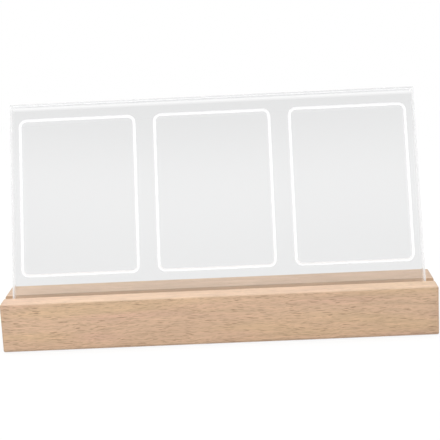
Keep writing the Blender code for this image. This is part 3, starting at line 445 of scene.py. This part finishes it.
def beech(looks):
    """Fine beech: fibre along X that sways a little, short dark flecks, soft streaks, and painted light
    and shade on its edges, top, slot and foot.
    """
    wood = material("oiled_beech")
    x, y, z = wood.parts(wood.place())
    low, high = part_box("wooden_base")
    sway = wood.noise(wood.stretched((30, 24, 45)), roughness=0.45) - 0.5
    level = z + sway * looks.sway
    depth = y + sway * looks.sway * 0.7

    # Each fleck has a room of its own, and a shear staggers the rooms of neighbouring rows
    ragged = (wood.noise(wood.point(x * 500, depth * 2600, level * 2600), detail=1.0) - 0.5) * 0.35
    per_length, per_width = 1 / looks.fleck_length, 1 / looks.fleck_width
    rows = (level + depth * 0.6) * (per_width * 0.62)
    room = wood.point(x * per_length + rows, depth * (per_width * 0.6), level * per_width)
    fleck = flecks(wood, room, ragged, 0.38, 0)
    room = wood.point(x * per_length * 1.7 - rows * 1.3, depth * per_width, level * per_width * 1.3)
    tick = flecks(wood, room, ragged, 0.40, 1)

    fibre = wood.noise(wood.point(x * 120, depth * 1100, level * 1250), detail=3.0, roughness=0.6)
    streak = wood.noise(wood.point(x * 45, depth * 420, level * 760), roughness=0.55)
    patch = wood.noise(wood.stretched((13, 60, 105)), detail=1.0)
    cloud = wood.noise(wood.stretched((9, 60, 90)), detail=1.0)
    tone = wood.mix(wood.ramp(patch, 0.46, 0.68), looks.body, looks.pink)
    tone = wood.mix(wood.ramp(cloud, 0.48, 0.68), tone, looks.straw)
    # The term with x is painted shade that darkens the board towards its right end
    tone = wood.dimmed(tone, 0.672 + streak * 0.38 + fibre * 0.34 - x * looks.painted_shade_drift)
    tone = wood.mix(fleck * 1.18 + tick * 1.08, tone, looks.fleck)

    # The cut ends, whose heart lies below the bar and a little in front of its middle
    heart_y, heart_z = -12.0 * MM, -45.0 * MM
    ends = wood.ramp(abs(x), high.x - 1.0 * MM, high.x - STEP)
    pores = wood.noise(wood.stretched((900, 2600, 2600)))
    cut = cut_end(wood, looks, y - heart_y + sway * (4.0 * MM), z - heart_z, pores)
    tone = wood.mix(ends * 0.85, tone, cut)

    # The walls and the floor of the slot, with painted light that makes them lighter and warmer, and
    # painted shade past the panel's sides
    up = reach(LEAN_UP, y, z)
    from_slot = abs(reach(LEAN_BACK, y, z) - PANEL_MIDDLE) - (PANEL_REAR - PANEL_FRONT) / 2
    slot = wood.ramp(from_slot, 0.3 * MM, 0.24 * MM) * wood.ramp(z, high.z - STEP, high.z - 0.3 * MM)
    slot = slot * wood.ramp(up, PANEL_FOOT - 0.45 * MM, PANEL_FOOT - 0.35 * MM)
    # Painted shade: the walls past the panel's sides turn darker
    bare = wood.ramp(abs(x), PANEL_SIDE, PANEL_SIDE + 1.2 * MM)
    walls = wood.mix(bare * 0.85, looks.painted_slot_light, looks.end_grain)
    tone = wood.mix(slot, tone, wood.dimmed(walls, 0.88 + fibre * 0.24))

    # A painted sheen that makes the top face paler, and a painted highlight on the lips of the slot
    crown = wood.ramp(z, high.z - 0.8 * MM, high.z - 0.2 * MM)
    tone = wood.mix(crown * 0.42, tone, wood.dimmed(looks.pale, 0.72 + streak * 0.56))
    lip_highlight = wood.ramp(from_slot, 1.1 * MM, 0.4 * MM) * wood.ramp(from_slot, 0.3 * MM, 0.36 * MM)
    tone = wood.mix(lip_highlight * crown * 0.40, tone, looks.worn)

    # Darker towards the ends, most on the top face and most of all behind the slot, where it is a
    # painted shadow of the panel
    towards_ends = wood.ramp(abs(x), high.x - 7.0 * MM, high.x - 1.0 * MM)
    behind = crown * wood.ramp(y, 0.0, 1.0 * MM)
    tone = wood.dimmed(tone, 1.0 - towards_ends * (0.05 + crown * 0.04 + behind * 0.13))

    # A painted highlight on the rounded edges, and painted shade along the foot
    edge = wood.ramp(wood.edge_distance(low, high), -looks.edge_highlight_reach, -STEP)
    foot = wood.ramp(z, low.z + 1.4 * MM, low.z + 0.4 * MM)
    tone = wood.mix(edge * (1.0 - foot) * (0.06 + fibre * 0.20), tone, looks.worn)
    tone = wood.dimmed(tone, 1.0 - foot * 0.20)

    relief = fibre * 0.5 - fleck * 0.5 - tick * 0.3 + ends * pores * 0.6
    return wood.surface(
        Base_Color=tone,
        Roughness=0.46 + fibre * 0.16 + ends * 0.12,
        Normal=wood.bump(relief, 0.04 * MM),
        Coat_Weight=0.12,
        Coat_Roughness=0.35,
    )


def acrylic(looks):
    """Clear cast acrylic whose satin bevels and rims let some light through and glow a little."""
    clear = material("clear_acrylic")
    x, y, z = clear.parts(clear.place())
    out, up, back = abs(x), reach(LEAN_UP, y, z), reach(LEAN_BACK, y, z)
    inside_bevel, under_bevel = PANEL_SIDE - looks.bevel, PANEL_TOP - looks.bevel
    corner = PANEL_SIDE - PANEL_TOP
    mitre = clear.ramp(out - up, corner - STEP, corner + STEP)
    side = mitre * clear.ramp(out, inside_bevel, inside_bevel + STEP)
    top = (1.0 - mitre) * clear.ramp(up, under_bevel, under_bevel + STEP)
    edge = clear.math("MAXIMUM", side, top)

    handling = clear.noise(clear.stretched((90, 90, 60)), detail=3.0, roughness=0.55)
    # A painted highlight: the panel turns lighter in a band below the top bevel
    band = clear.ramp(up, under_bevel - looks.painted_highlight_band, under_bevel - looks.painted_highlight_band * 0.6)
    glassy = clear.principled(
        Base_Color=clear.mix(band, looks.tint, WHITE),
        Roughness=clear.ramp(handling, 0.45, 0.85, 0.0, 0.035),
        IOR=1.49,
        Transmission_Weight=1.0,
    )

    arris = clear.ramp(up, PANEL_TOP - looks.bevel * 0.60, PANEL_TOP - looks.bevel * 0.90)
    rear = clear.ramp(back, PANEL_MIDDLE - 0.5 * MM, PANEL_MIDDLE + 0.5 * MM)
    top_glow = between(rear, between(arris, looks.front_glow, looks.arris_glow), looks.rear_glow)
    outward = clear.ramp(out, inside_bevel, PANEL_SIDE)
    side_glow = between(outward, looks.inner_glow, looks.outer_glow)
    rim = clear.ramp(out, PANEL_SIDE - 0.06 * MM, PANEL_SIDE - 0.02 * MM)
    clearness = between(outward, looks.inner_clear, looks.outer_clear)
    sawn = clear.speckle(2400)
    tone = clear.dimmed(looks.edge, 0.95 + sawn * 0.08)
    satin = clear.principled(
        Base_Color=tone,
        Roughness=0.45 + sawn * 0.15,
        Alpha=1.0 - side * (1.0 - rim) * clearness,
        Emission_Color=clear.dimmed(tone, clear.math("MAXIMUM", top_glow * top, side * side_glow)),
        Emission_Strength=1.0,
    )
    pane = clear.blend(edge * looks.edge_share, glassy, satin)

    # A ray that only turns inside the sheet ends as the light it carries, and shadow rays pass
    path = clear.node("ShaderNodeLightPath")
    many = clear.math("GREATER_THAN", clear.value(path, "Ray Depth"), looks.most_turns)
    never_matt = clear.math("LESS_THAN", clear.value(path, "Diffuse Depth"), 0.5)
    pane = clear.blend(many * never_matt, pane, clear.plain("ShaderNodeEmission", looks.carried))
    through = clear.plain("ShaderNodeBsdfTransparent", WHITE)
    return clear.close(clear.blend(clear.rays("Shadow"), pane, through))


def frost(looks):
    """The rough white of an engraved line, with a fine grain and a glow that is stronger inside."""
    white = material("frosted_engraving")
    _, y, z = white.parts(white.place())
    sunk = reach(LEAN_BACK, y, z) - PANEL_FRONT
    inner = white.ramp(sunk, looks.line_depth * 0.5, looks.line_depth * 0.8)
    grain = white.speckle(5200)
    tone = white.dimmed(looks.frost, 0.95 + grain * 0.04 + white.speckle(240, detail=1.0) * 0.04)
    strength = 2.0
    glow = between(inner, looks.glow / strength, looks.rear_line_glow / strength)
    return white.surface(
        Base_Color=tone,
        Roughness=0.60 + grain * 0.2,
        Normal=white.bump(grain, 0.03 * MM),
        Emission_Color=white.dimmed(tone, glow),
        Emission_Strength=strength,
    )


def moulded(name, body, worn, roughness, grain_size, relief, box=None):
    """Moulded plastic with an even fine grain, slight cloudiness and rubbed edges."""
    plastic = material(name)
    grain = plastic.speckle(1 / grain_size, roughness=0.6)
    cloud = plastic.speckle(160, detail=3.0)
    tone = plastic.mix(plastic.ramp(cloud, 0.40, 0.75, 0.0, 0.22), body, worn)
    tone = plastic.dimmed(tone, 0.90 + grain * 0.20)
    if box:
        edge = plastic.ramp(plastic.edge_distance(*box), -0.5 * MM, 0.0)
        tone = plastic.mix(edge * (0.25 + cloud * 0.6), tone, worn)
    return plastic.surface(
        Base_Color=tone,
        Roughness=roughness - 0.05 + cloud * 0.12,
        Normal=plastic.bump(grain, relief),
    )


def screw(name, looks, axis, recess_reach):
    """A zinc-plated screw turned about an axis through its middle, with painted shade inside its recess.
    """
    metal = material(name)
    parts, centre = metal.parts(metal.place()), middle_of(name)
    radius = metal.radius(*(parts[index] - centre[index] for index in range(3) if index != axis))
    rings = metal.noise(metal.point(radius * 9000, parts[axis] * 5200))
    spots = metal.speckle(900, detail=3.0)
    inside = metal.ramp(radius, recess_reach, recess_reach * 0.55)
    dull = [part * 0.6 for part in looks.zinc]
    tone = metal.mix(metal.ramp(spots, 0.50, 0.75, 0.0, 0.35), looks.zinc, dull)
    # Painted shade inside the recess
    tone = metal.mix(inside * 0.55, tone, looks.recess_shade_and_grime)
    return metal.surface(
        Base_Color=tone,
        Metallic=1.0,
        Roughness=0.24 + rings * 0.16 + spots * 0.10,
        Normal=metal.bump(rings, 0.012 * MM),
    )


def finish_screws(stem, looks, axis, recess_reach):
    """Give each screw of a kind its own metal, because its rings turn about its own axis."""
    for name in numbered(stem):
        dress(screw(name, looks, axis, recess_reach), name)


def brushed(name, tone, dark, stretch, roughness=0.28):
    """Sheet metal or solder with fine scratches along one axis."""
    metal = material(name)
    scratch = metal.noise(metal.stretched(stretch), detail=3.0, roughness=0.65)
    shade = metal.mix(metal.ramp(metal.speckle(700), 0.52, 0.80, 0.0, 0.30), tone, dark)
    return metal.surface(
        Base_Color=metal.dimmed(shade, 0.92 + scratch * 0.14),
        Metallic=1.0,
        Roughness=roughness - 0.08 + scratch * 0.22,
        Normal=metal.bump(scratch, 0.008 * MM),
    )


def foam(looks):
    """Closed-cell foam rubber with fine open pores."""
    pad = material("foam_rubber")
    distance, chances = pad.cells(pad.stretched((2100, 2100, 2100)))
    pore = pad.ramp(distance, 0.42, 0.10) * pad.ramp(chances[0], 0.25, 0.60)
    dust = pad.speckle(120, detail=4.0)
    tone = pad.mix(pad.ramp(dust, 0.45, 0.80, 0.0, 0.30), looks.foam, looks.worn_plastic)
    # The pores are darkened with painted shade
    return pad.surface(
        Base_Color=pad.dimmed(tone, 1.05 - pore * 0.55),
        Roughness=0.96 - dust * 0.12,
        Normal=pad.bump(1.0 - pore, 0.06 * MM),
    )


def from_diode(x, chips):
    """The distance along the strip to the middle of the nearest diode."""
    low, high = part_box("led_strip_board")
    return from_lane(x, low.x, (high.x - low.x) / len(chips))


def strip_board(looks):
    """White circuit board: two faint copper rails, bright pads beside each diode, and a bare edge."""
    board = material("strip_board")
    x, y, z = board.parts(board.place())
    low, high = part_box("led_strip_board")
    chips = numbered("led_chip")
    chip_low, chip_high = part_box(chips[0])
    from_pad = abs(from_diode(x, chips) - (chip_high.x - chip_low.x) / 2)
    across = abs(y - (low.y + high.y) / 2)
    near = board.ramp(from_pad, 0.9 * MM, 0.7 * MM) * board.ramp(across, 1.2 * MM, 1.0 * MM)
    rail = board.ramp(abs(across - 3.0 * MM), 0.45 * MM, 0.35 * MM)
    grain = board.speckle(1800)
    edge = board.ramp(z, high.z - 0.2 * MM, high.z - 0.3 * MM)
    edge = edge * board.ramp(z, low.z + 0.2 * MM, low.z + 0.3 * MM)
    tone = board.mix(rail * 0.14, looks.strip, looks.copper)
    tone = board.mix(edge * 0.7, tone, looks.strip_edge)
    tone = board.mix(near, board.dimmed(tone, 0.94 + grain * 0.08), looks.solder)
    return board.surface(
        Base_Color=tone,
        Metallic=near,
        Roughness=0.42 + grain * 0.10 - near * 0.15,
        Normal=board.bump(near + rail * 0.5 + grain * 0.1, 0.03 * MM),
    )


def diode(looks):
    """White diode case with a yellow lens sunk in it and bright end contacts."""
    lamp = material("light_diode")
    x, y, z = lamp.parts(lamp.place())
    chips = numbered("led_chip")
    low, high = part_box(chips[0])
    along, across = from_diode(x, chips), abs(y - (low.y + high.y) / 2)
    half_x, half_y = (high.x - low.x) / 2, (high.y - low.y) / 2
    lens_x, lens_y = half_x - 0.35 * MM, half_y - 0.35 * MM
    lens = lamp.ramp(along, lens_x, lens_x - STEP) * lamp.ramp(across, lens_y, lens_y - STEP)
    lens = lens * lamp.ramp(z, high.z - 0.02 * MM, high.z - STEP)
    contact = lamp.ramp(along, half_x - 0.05 * MM, half_x)
    contact = contact * lamp.ramp(z, high.z - 0.3 * MM, high.z - 0.4 * MM)
    powder = lamp.speckle(6000)
    tone = lamp.mix(lens, looks.diode_case, looks.phosphor)
    tone = lamp.mix(contact, lamp.dimmed(tone, 0.90 + powder * 0.14), looks.solder)
    return lamp.surface(
        Base_Color=tone,
        Metallic=contact,
        Roughness=0.38 - lens * 0.16 + powder * 0.08,
        Normal=lamp.bump(powder, 0.01 * MM),
    )


def chip_resistor(name, looks, from_middle, half):
    """Black chip resistor with a bright cap at each end; from_middle gives the way along it."""
    body = material(name)
    cap = half - 0.4 * MM
    ends = body.ramp(from_middle(body), cap, cap + 0.04 * MM)
    grain = body.speckle(4000)
    tone = body.mix(ends, body.dimmed(looks.ceramic, 0.85 + grain * 0.4), looks.solder)
    return body.surface(
        Base_Color=tone,
        Metallic=ends,
        Roughness=0.30 + grain * 0.16,
        Normal=body.bump(grain, 0.01 * MM),
    )


def power_board(looks):
    """Green circuit board with covered traces, tinned pads and a bare glass-fibre edge."""
    board = material("power_board")
    x, _, z = board.parts(board.place())
    low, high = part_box("power_board")
    middle = middle_of("power_board")
    column = board.noise(board.point(x * 240), detail=0.0)
    shift = board.math("FLOOR", column * 6.0) * (0.4 * MM)
    trace = board.ramp(from_lane(z + shift, low.z, 1.4 * MM), 0.32 * MM, 0.24 * MM)
    distance, chances = board.cells(board.point(x * 420, 0.0, z * 420), randomness=0.35)
    pad = board.ramp(distance, 0.22, 0.17) * board.ramp(chances[0], 0.80, 0.84)
    weave = board.noise(board.stretched((2600, 500, 2600)))
    past = board.math("MAXIMUM", abs(x) - high.x, abs(z - middle.z) - (high.z - middle.z))
    tone = board.mix(trace, looks.board, looks.trace)
    tone = board.dimmed(tone, 0.90 + weave * 0.20)
    tone = board.mix(board.ramp(past, -0.1 * MM, -0.03 * MM), tone, looks.board_edge)
    tone = board.mix(pad, tone, looks.solder)
    return board.surface(
        Base_Color=tone,
        Metallic=pad,
        Roughness=0.34 + weave * 0.12,
        Normal=board.bump(trace * 0.6 + pad + weave * 0.15, 0.03 * MM),
    )


def controller(looks):
    """Black moulded chip with a round mark at one corner."""
    chip = material("controller_chip")
    x, _, z = chip.parts(chip.place())
    low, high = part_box("controller_chip")
    mark_x, mark_z = low.x + 0.8 * MM, high.z - 0.8 * MM
    mark = chip.ramp(chip.radius(x - mark_x, z - mark_z), 0.32 * MM, 0.26 * MM)
    grain = chip.speckle(5000, detail=3.0)
    return chip.surface(
        Base_Color=chip.dimmed(looks.ceramic, 0.8 + grain * 0.5 + mark * 1.6),
        Roughness=0.46 + grain * 0.16 - mark * 0.20,
        Normal=chip.bump(grain * 0.3 - mark, 0.04 * MM),
    )


def capacitor(looks):
    """Aluminium can with a scored cross on its end, painted shade in that cross, and a black stripe on
    its side.
    """
    can = material("capacitor_can")
    x, y, z = can.parts(can.place())
    low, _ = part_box("board_capacitor")
    middle = middle_of("board_capacitor")
    from_x, from_z = x - middle.x, z - middle.z
    end = can.ramp(y, low.y + 0.12 * MM, low.y + 0.06 * MM)
    end = end * can.ramp(can.radius(from_x, from_z), 1.8 * MM, 1.7 * MM)
    score = can.math("MINIMUM", abs(from_x), abs(from_z))
    cross = can.ramp(score, 0.12 * MM, 0.07 * MM) * end
    stripe = can.ramp(from_x, 1.25 * MM, 1.35 * MM) * (1.0 - end)
    brush = can.noise(can.point(x * 300, y * 7000, z * 300))
    tone = can.mix(stripe, can.dimmed(looks.can, 0.92 + brush * 0.12), looks.black)
    # The scored cross gets painted shade
    return can.surface(
        Base_Color=can.mix(cross * 0.7, tone, looks.recess_shade_and_grime),
        Metallic=1.0 - stripe,
        Roughness=0.24 + brush * 0.16 + stripe * 0.15,
        Normal=can.bump(brush * 0.1 - cross, 0.06 * MM),
    )


def wire(name, insulation):
    """Soft glossy insulation with faint ripples and scuffs."""
    skin = material(name)
    scuff = skin.speckle(900, detail=4.0)
    ripple = skin.noise(skin.stretched((2600, 420, 2600)), detail=1.0)
    return skin.surface(
        Base_Color=skin.dimmed(insulation, 0.85 + scuff * 0.35),
        Roughness=0.28 + scuff * 0.22,
        Normal=skin.bump(ripple, 0.02 * MM),
        Coat_Weight=0.2,
    )


def nylon(name, looks):
    """Natural nylon: waxy, slightly cloudy, with fine mould lines."""
    body = material(name)
    cloud = body.speckle(700, detail=3.0)
    line = body.ramp(from_lane(body.parts(body.place())[2], 0.0, 0.8 * MM), 0.06 * MM, 0.02 * MM)
    return body.surface(
        Base_Color=body.dimmed(looks.nylon, 0.93 + cloud * 0.12 - line * 0.05),
        Roughness=0.42 + cloud * 0.12,
        Normal=body.bump(cloud * 0.3 - line, 0.02 * MM),
        Subsurface_Weight=0.15,
        Subsurface_Scale=0.8 * MM,
    )


def tongue(looks):
    """Black contact tongue with gold contacts on both faces."""
    blade = material("contact_tongue")
    x, y, z = blade.parts(blade.place())
    low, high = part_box("usb_socket_tongue")
    middle = middle_of("usb_socket_tongue")
    pitch = 0.8 * MM
    lane = blade.ramp(from_lane(x, middle.x - pitch / 2, pitch), 0.24 * MM, 0.19 * MM)
    face = blade.ramp(abs(z - middle.z), 0.3 * MM, 0.34 * MM)
    face = face * blade.ramp(y, low.y + 2.0 * MM, low.y + 2.2 * MM)
    inside = blade.ramp(abs(x - middle.x), 3.0 * MM, 2.9 * MM)
    inside = inside * blade.ramp(y, high.y - 0.4 * MM, high.y - 0.5 * MM)
    gold = lane * face * inside
    grain = blade.speckle(4200)
    tone = blade.mix(gold, blade.dimmed(looks.black_plastic, 0.8 + grain * 0.5), looks.gold)
    return blade.surface(
        Base_Color=tone,
        Metallic=gold,
        Roughness=0.42 - gold * 0.18 + grain * 0.10,
        Normal=blade.bump(gold + grain * 0.2, 0.02 * MM),
    )


def button(looks):
    """Satin button with fine turned rings on its face and a rubbed rim."""
    cap = material("satin_button")
    x, y, z = cap.parts(cap.place())
    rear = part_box("button_cap")[1].y
    middle = middle_of("button_cap")
    radius = cap.radius(x - middle.x, z - middle.z)
    rings = cap.noise(cap.point(radius * 5200), detail=1.0)
    rubbed = cap.ramp(radius, 2.2 * MM, 2.8 * MM) * cap.ramp(y, rear - 0.9 * MM, rear - 0.2 * MM)
    grain = cap.speckle(3000)
    tone = cap.mix(rubbed * (0.3 + grain * 0.5), looks.button, looks.worn_plastic)
    return cap.surface(
        Base_Color=cap.dimmed(tone, 0.90 + grain * 0.20),
        Roughness=0.30 + rings * 0.12 + grain * 0.06,
        Normal=cap.bump(rings * 0.6 + grain * 0.4, 0.01 * MM),
    )


class PHOTOFRAME_OT_finish_beech(bpy.types.Operator):
    """Give the base its oiled beech"""

    bl_idname = "photo_frame.finish_beech"
    bl_label = "Finish the Beech"

    def execute(self, context):
        dress(beech(context.scene.beech_looks), "wooden_base")
        return {"FINISHED"}


class PHOTOFRAME_OT_finish_acrylic(bpy.types.Operator):
    """Make the panel clear, with satin bevels and rims that glow a little"""

    bl_idname = "photo_frame.finish_acrylic"
    bl_label = "Finish the Acrylic"

    def execute(self, context):
        dress(acrylic(context.scene.panel_looks), "acrylic_panel")
        return {"FINISHED"}


class PHOTOFRAME_OT_add_outlines(bpy.types.Operator):
    """Lay a frosted line into each engraved outline of the panel"""

    bl_idname = "photo_frame.add_outlines"
    bl_label = "Add the Engraved Outlines"

    def execute(self, context):
        looks = context.scene.panel_looks
        count = looks.outlines
        free = 2 * PANEL_SIDE - 2 * looks.side_margin - (count - 1) * looks.gap
        width = free / count
        height = PANEL_TOP - PANEL_FOOT - looks.rise - looks.top_margin
        middle = LEAN_UP * (PANEL_FOOT + looks.rise + height / 2) + LEAN_BACK * PANEL_FRONT
        finished = frost(looks)
        for index in range(count):
            across = (index - (count - 1) / 2) * (width + looks.gap)
            piece = self.add_line(looks, middle + Vector((across, 0, 0)), width, height)
            piece.name = f"engraved_outline_{index + 1}"
            piece.data.materials.append(finished)
            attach(piece, "panel")
        return {"FINISHED"}

    def add_line(self, looks, middle, width, height):
        """One closed line with round corners, filling its groove to just under the face."""
        line = looks.line_width - 2 * looks.line_gap
        floor = middle + LEAN_BACK * (looks.line_depth - looks.line_gap)
        upright = math.pi / 2 - math.atan2(LEAN_UP.y, LEAN_UP.z)
        deselect()
        bpy.ops.mesh.primitive_plane_add(size=1, location=floor, rotation=(upright, 0, 0))
        piece = bpy.context.object
        piece.scale = (width + line, height + line, 1)
        bpy.ops.object.transform_apply(location=False, rotation=False, scale=True)
        bpy.ops.object.mode_set(mode="EDIT")
        bpy.ops.mesh.select_all(action="SELECT")
        radius = looks.corner_radius + line / 2
        bpy.ops.mesh.bevel(offset=radius, segments=10, affect="VERTICES")
        bpy.ops.mesh.select_all(action="SELECT")
        bpy.ops.mesh.inset(thickness=line, depth=0)
        bpy.ops.mesh.delete(type="FACE")
        bpy.ops.mesh.select_all(action="SELECT")
        rise = -LEAN_BACK * (looks.line_depth - 2 * looks.line_gap)
        bpy.ops.mesh.extrude_region_move(TRANSFORM_OT_translate={"value": rise})
        bpy.ops.mesh.inset(thickness=line / 3, depth=0)
        bpy.ops.transform.translate(value=LEAN_BACK * looks.line_dish)
        bpy.ops.mesh.select_all(action="SELECT")
        bpy.ops.mesh.normals_make_consistent(inside=False)
        bpy.ops.object.mode_set(mode="OBJECT")
        seat_in_place(piece)
        return piece


class PHOTOFRAME_OT_finish_light_strip(bpy.types.Operator):
    """Finish the strip's board, diodes, resistors, joints and wires"""

    bl_idname = "photo_frame.finish_light_strip"
    bl_label = "Finish the Light Strip"

    def execute(self, context):
        looks = context.scene.fitting_looks
        dress(strip_board(looks), "led_strip_board")
        dress(diode(looks), *numbered("led_chip"))
        resistors = numbered("led_strip_resistor")
        first, second = middle_of(resistors[0]).x, middle_of(resistors[1]).x
        pitch = second - first

        def from_middle(body):
            return from_lane(body.parts(body.place())[0], first - pitch / 2, pitch)

        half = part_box(resistors[0])[1].x - first
        dress(chip_resistor("strip_resistor", looks, from_middle, half), *resistors)
        solder = brushed("solder", looks.solder, looks.recess_shade_and_grime, (1800, 1800, 1800), 0.24)
        dress(solder, *numbered("solder_joint"))
        dress(wire("red_insulation", looks.red), "red_wire")
        dress(wire("black_insulation", looks.black), "black_wire")
        return {"FINISHED"}


class PHOTOFRAME_OT_finish_electronics(bpy.types.Operator):
    """Finish the power board and the parts on it"""

    bl_idname = "photo_frame.finish_electronics"
    bl_label = "Finish the Electronics"

    def execute(self, context):
        looks = context.scene.fitting_looks
        dress(power_board(looks), "power_board")
        dress(controller(looks), "controller_chip")
        dress(capacitor(looks), "board_capacitor")
        resistors = numbered("board_resistor")
        middle = middle_of(resistors[0]).z

        def from_middle(body):
            return abs(body.parts(body.place())[2] - middle)

        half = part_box(resistors[0])[1].z - middle
        dress(chip_resistor("board_resistor", looks, from_middle, half), *resistors)
        dress(nylon("plug_nylon", looks), "wire_plug")
        dress(nylon("header_nylon", looks), "wire_header")
        body, worn, box = looks.black, looks.worn_plastic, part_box("switch_body")
        dress(moulded("switch_body", body, worn, 0.42, 0.4 * MM, 0.01 * MM, box), "switch_body")
        pale = [part * 0.85 for part in looks.plunger]
        dress(moulded("plunger", looks.plunger, pale, 0.38, 0.5 * MM, 0.01 * MM), "switch_plunger")
        finish_screws("board_screw", looks, 1, 0.9 * MM)
        return {"FINISHED"}


class PHOTOFRAME_OT_finish_rear(bpy.types.Operator):
    """Finish the rear plate, its screws, the supply socket and the push button"""

    bl_idname = "photo_frame.finish_rear"
    bl_label = "Finish the Rear Fittings"

    def execute(self, context):
        looks = context.scene.fitting_looks
        low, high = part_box("rear_plate")
        box = (Vector((low.x, high.y - 1.6 * MM, low.z)), high)
        body, worn = looks.black_plastic, looks.worn_plastic
        dress(moulded("rear_plate", body, worn, 0.46, 0.35 * MM, 0.03 * MM, box), "rear_plate")
        dress(brushed("socket_shell", looks.nickel, looks.recess_shade_and_grime, (700, 160, 5200)), "usb_socket_shell")
        dress(tongue(looks), "usb_socket_tongue")
        dress(button(looks), "button_cap")
        finish_screws("rear_plate_screw", looks, 1, 1.0 * MM)
        return {"FINISHED"}


class PHOTOFRAME_OT_finish_underside(bpy.types.Operator):
    """Finish the bottom cover, its screws and the anti-slip pad"""

    bl_idname = "photo_frame.finish_underside"
    bl_label = "Finish the Underside"

    def execute(self, context):
        looks = context.scene.fitting_looks
        body, worn = looks.black_plastic, looks.worn_plastic
        dress(moulded("bottom_cover", body, worn, 0.50, 0.5 * MM, 0.03 * MM), "bottom_cover")
        dress(foam(looks), "anti_slip_pad")
        finish_screws("cover_screw", looks, 2, 1.3 * MM)
        return {"FINISHED"}


class PHOTOFRAME_OT_set_stage(bpy.types.Operator):
    """Set the floor, the sky, the lamps and the camera"""

    bl_idname = "photo_frame.set_stage"
    bl_label = "Set the Stage"

    def execute(self, context):
        looks = context.scene.studio_looks
        context.scene.view_settings.view_transform = "Standard"
        self.lay_floor(looks)
        self.set_sky(context.scene, looks)
        self.add_lamp("overhead_lamp", looks.overhead_place, looks.overhead_width, looks.overhead)
        self.add_lamp("front_lamp", looks.front_place, looks.front_width, looks.front)
        self.add_camera(context.scene, looks)
        return {"FINISHED"}

    def lay_floor(self, looks):
        """A pale floor that fades into the white surroundings and keeps a faint shadow."""
        deselect()
        bpy.ops.mesh.primitive_plane_add(size=looks.floor_width, location=(0, 0, 0))
        floor = bpy.context.object
        floor.name = "studio_floor"
        paper = material("floor_paper")
        x, y, _ = paper.parts(paper.place())
        share = paper.ramp(paper.radius(x, y), looks.fade_start, looks.fade_end, looks.floor_glow, 1.0)
        seen = paper.rays("Camera", "Glossy", "Transmission")
        matt = paper.plain("ShaderNodeBsdfDiffuse", looks.floor)
        white = paper.plain("ShaderNodeEmission", WHITE)
        clear = paper.plain("ShaderNodeBsdfTransparent", WHITE)
        below = paper.value(paper.node("ShaderNodeNewGeometry"), "Backfacing")
        lit = paper.blend(seen * share, matt, white)
        floor.data.materials.append(paper.close(paper.blend(below, lit, clear)))

    def set_sky(self, scene, looks):
        """White behind the object, an even level on it, and a soft window for glossy pieces."""
        scene.world = bpy.data.worlds.new("studio_sky")
        sky = Finish(scene.world)
        way = sky.parts(sky.value(sky.coordinates, "Generated"))
        height = sky.math("ARCSINE", way[2])
        window = sky.ramp(height, looks.window_top, looks.window_middle, looks.wall, looks.window)
        window = window * sky.ramp(height, looks.window_foot, looks.window_middle, 0.50, 1.0)
        room = between(sky.ramp(way[1], 0.0, -0.3), 1.0, window)
        level = between(sky.rays("Glossy"), looks.sky, room)
        level = between(sky.rays("Camera", "Transmission"), level, 1.0)
        light = {"Color": (*WHITE, 1.0), "Strength": level}
        sky.close(sky.value(sky.node("ShaderNodeBackground", inputs=light)))

    def add_lamp(self, name, spot, width, watts):
        """A large soft lamp that faces the object."""
        deselect()
        turn = (-Vector(spot)).to_track_quat("-Z", "Y").to_euler()
        bpy.ops.object.light_add(type="AREA", location=spot, rotation=turn)
        lamp = bpy.context.object
        lamp.name = name
        lamp.data.shape = "DISK"
        lamp.data.size = width
        lamp.data.energy = watts
        lamp.visible_camera = False

    def add_camera(self, scene, looks):
        """The camera of the photograph."""
        deselect()
        turn = Matrix.Rotation(looks.camera_yaw, 3, "Z")
        turn = turn @ Matrix.Rotation(math.pi / 2 - looks.camera_pitch, 3, "X")
        turn = turn @ Matrix.Rotation(looks.camera_roll, 3, "Z")
        bpy.ops.object.camera_add(location=looks.camera_place, rotation=turn.to_euler())
        camera = bpy.context.object
        camera.name = "studio_camera"
        camera.data.lens = looks.focal_length
        scene.camera = camera


OPERATORS = [
    PHOTOFRAME_OT_finish_beech,
    PHOTOFRAME_OT_finish_acrylic,
    PHOTOFRAME_OT_add_outlines,
    PHOTOFRAME_OT_finish_light_strip,
    PHOTOFRAME_OT_finish_electronics,
    PHOTOFRAME_OT_finish_rear,
    PHOTOFRAME_OT_finish_underside,
    PHOTOFRAME_OT_set_stage,
]


class PHOTOFRAME_PT_looks(bpy.types.Panel):
    """Lists the steps that dress the photo frame"""

    bl_idname = "PHOTOFRAME_PT_looks"
    bl_label = "Photo Frame"
    bl_space_type = "VIEW_3D"
    bl_region_type = "UI"
    bl_category = "Photo Frame"

    def draw(self, context):
        for step in OPERATORS:
            self.layout.operator(step.bl_idname)


GROUPS = {
    "beech_looks": BeechLooks,
    "panel_looks": PanelLooks,
    "fitting_looks": FittingLooks,
    "studio_looks": StudioLooks,
}


def register():
    for name, group in GROUPS.items():
        bpy.utils.register_class(group)
        setattr(bpy.types.Scene, name, bpy.props.PointerProperty(type=group))
    for step in [*OPERATORS, PHOTOFRAME_PT_looks]:
        bpy.utils.register_class(step)


def unregister():
    for step in [PHOTOFRAME_PT_looks, *reversed(OPERATORS)]:
        bpy.utils.unregister_class(step)
    for name, group in GROUPS.items():
        delattr(bpy.types.Scene, name)
        bpy.utils.unregister_class(group)


def main():
    register()
    bpy.ops.photo_frame.finish_beech()
    bpy.ops.photo_frame.finish_acrylic()
    bpy.ops.photo_frame.add_outlines()
    bpy.ops.photo_frame.finish_light_strip()
    bpy.ops.photo_frame.finish_electronics()
    bpy.ops.photo_frame.finish_rear()
    bpy.ops.photo_frame.finish_underside()
    bpy.ops.photo_frame.set_stage()


if __name__ == "__main__":
    main()
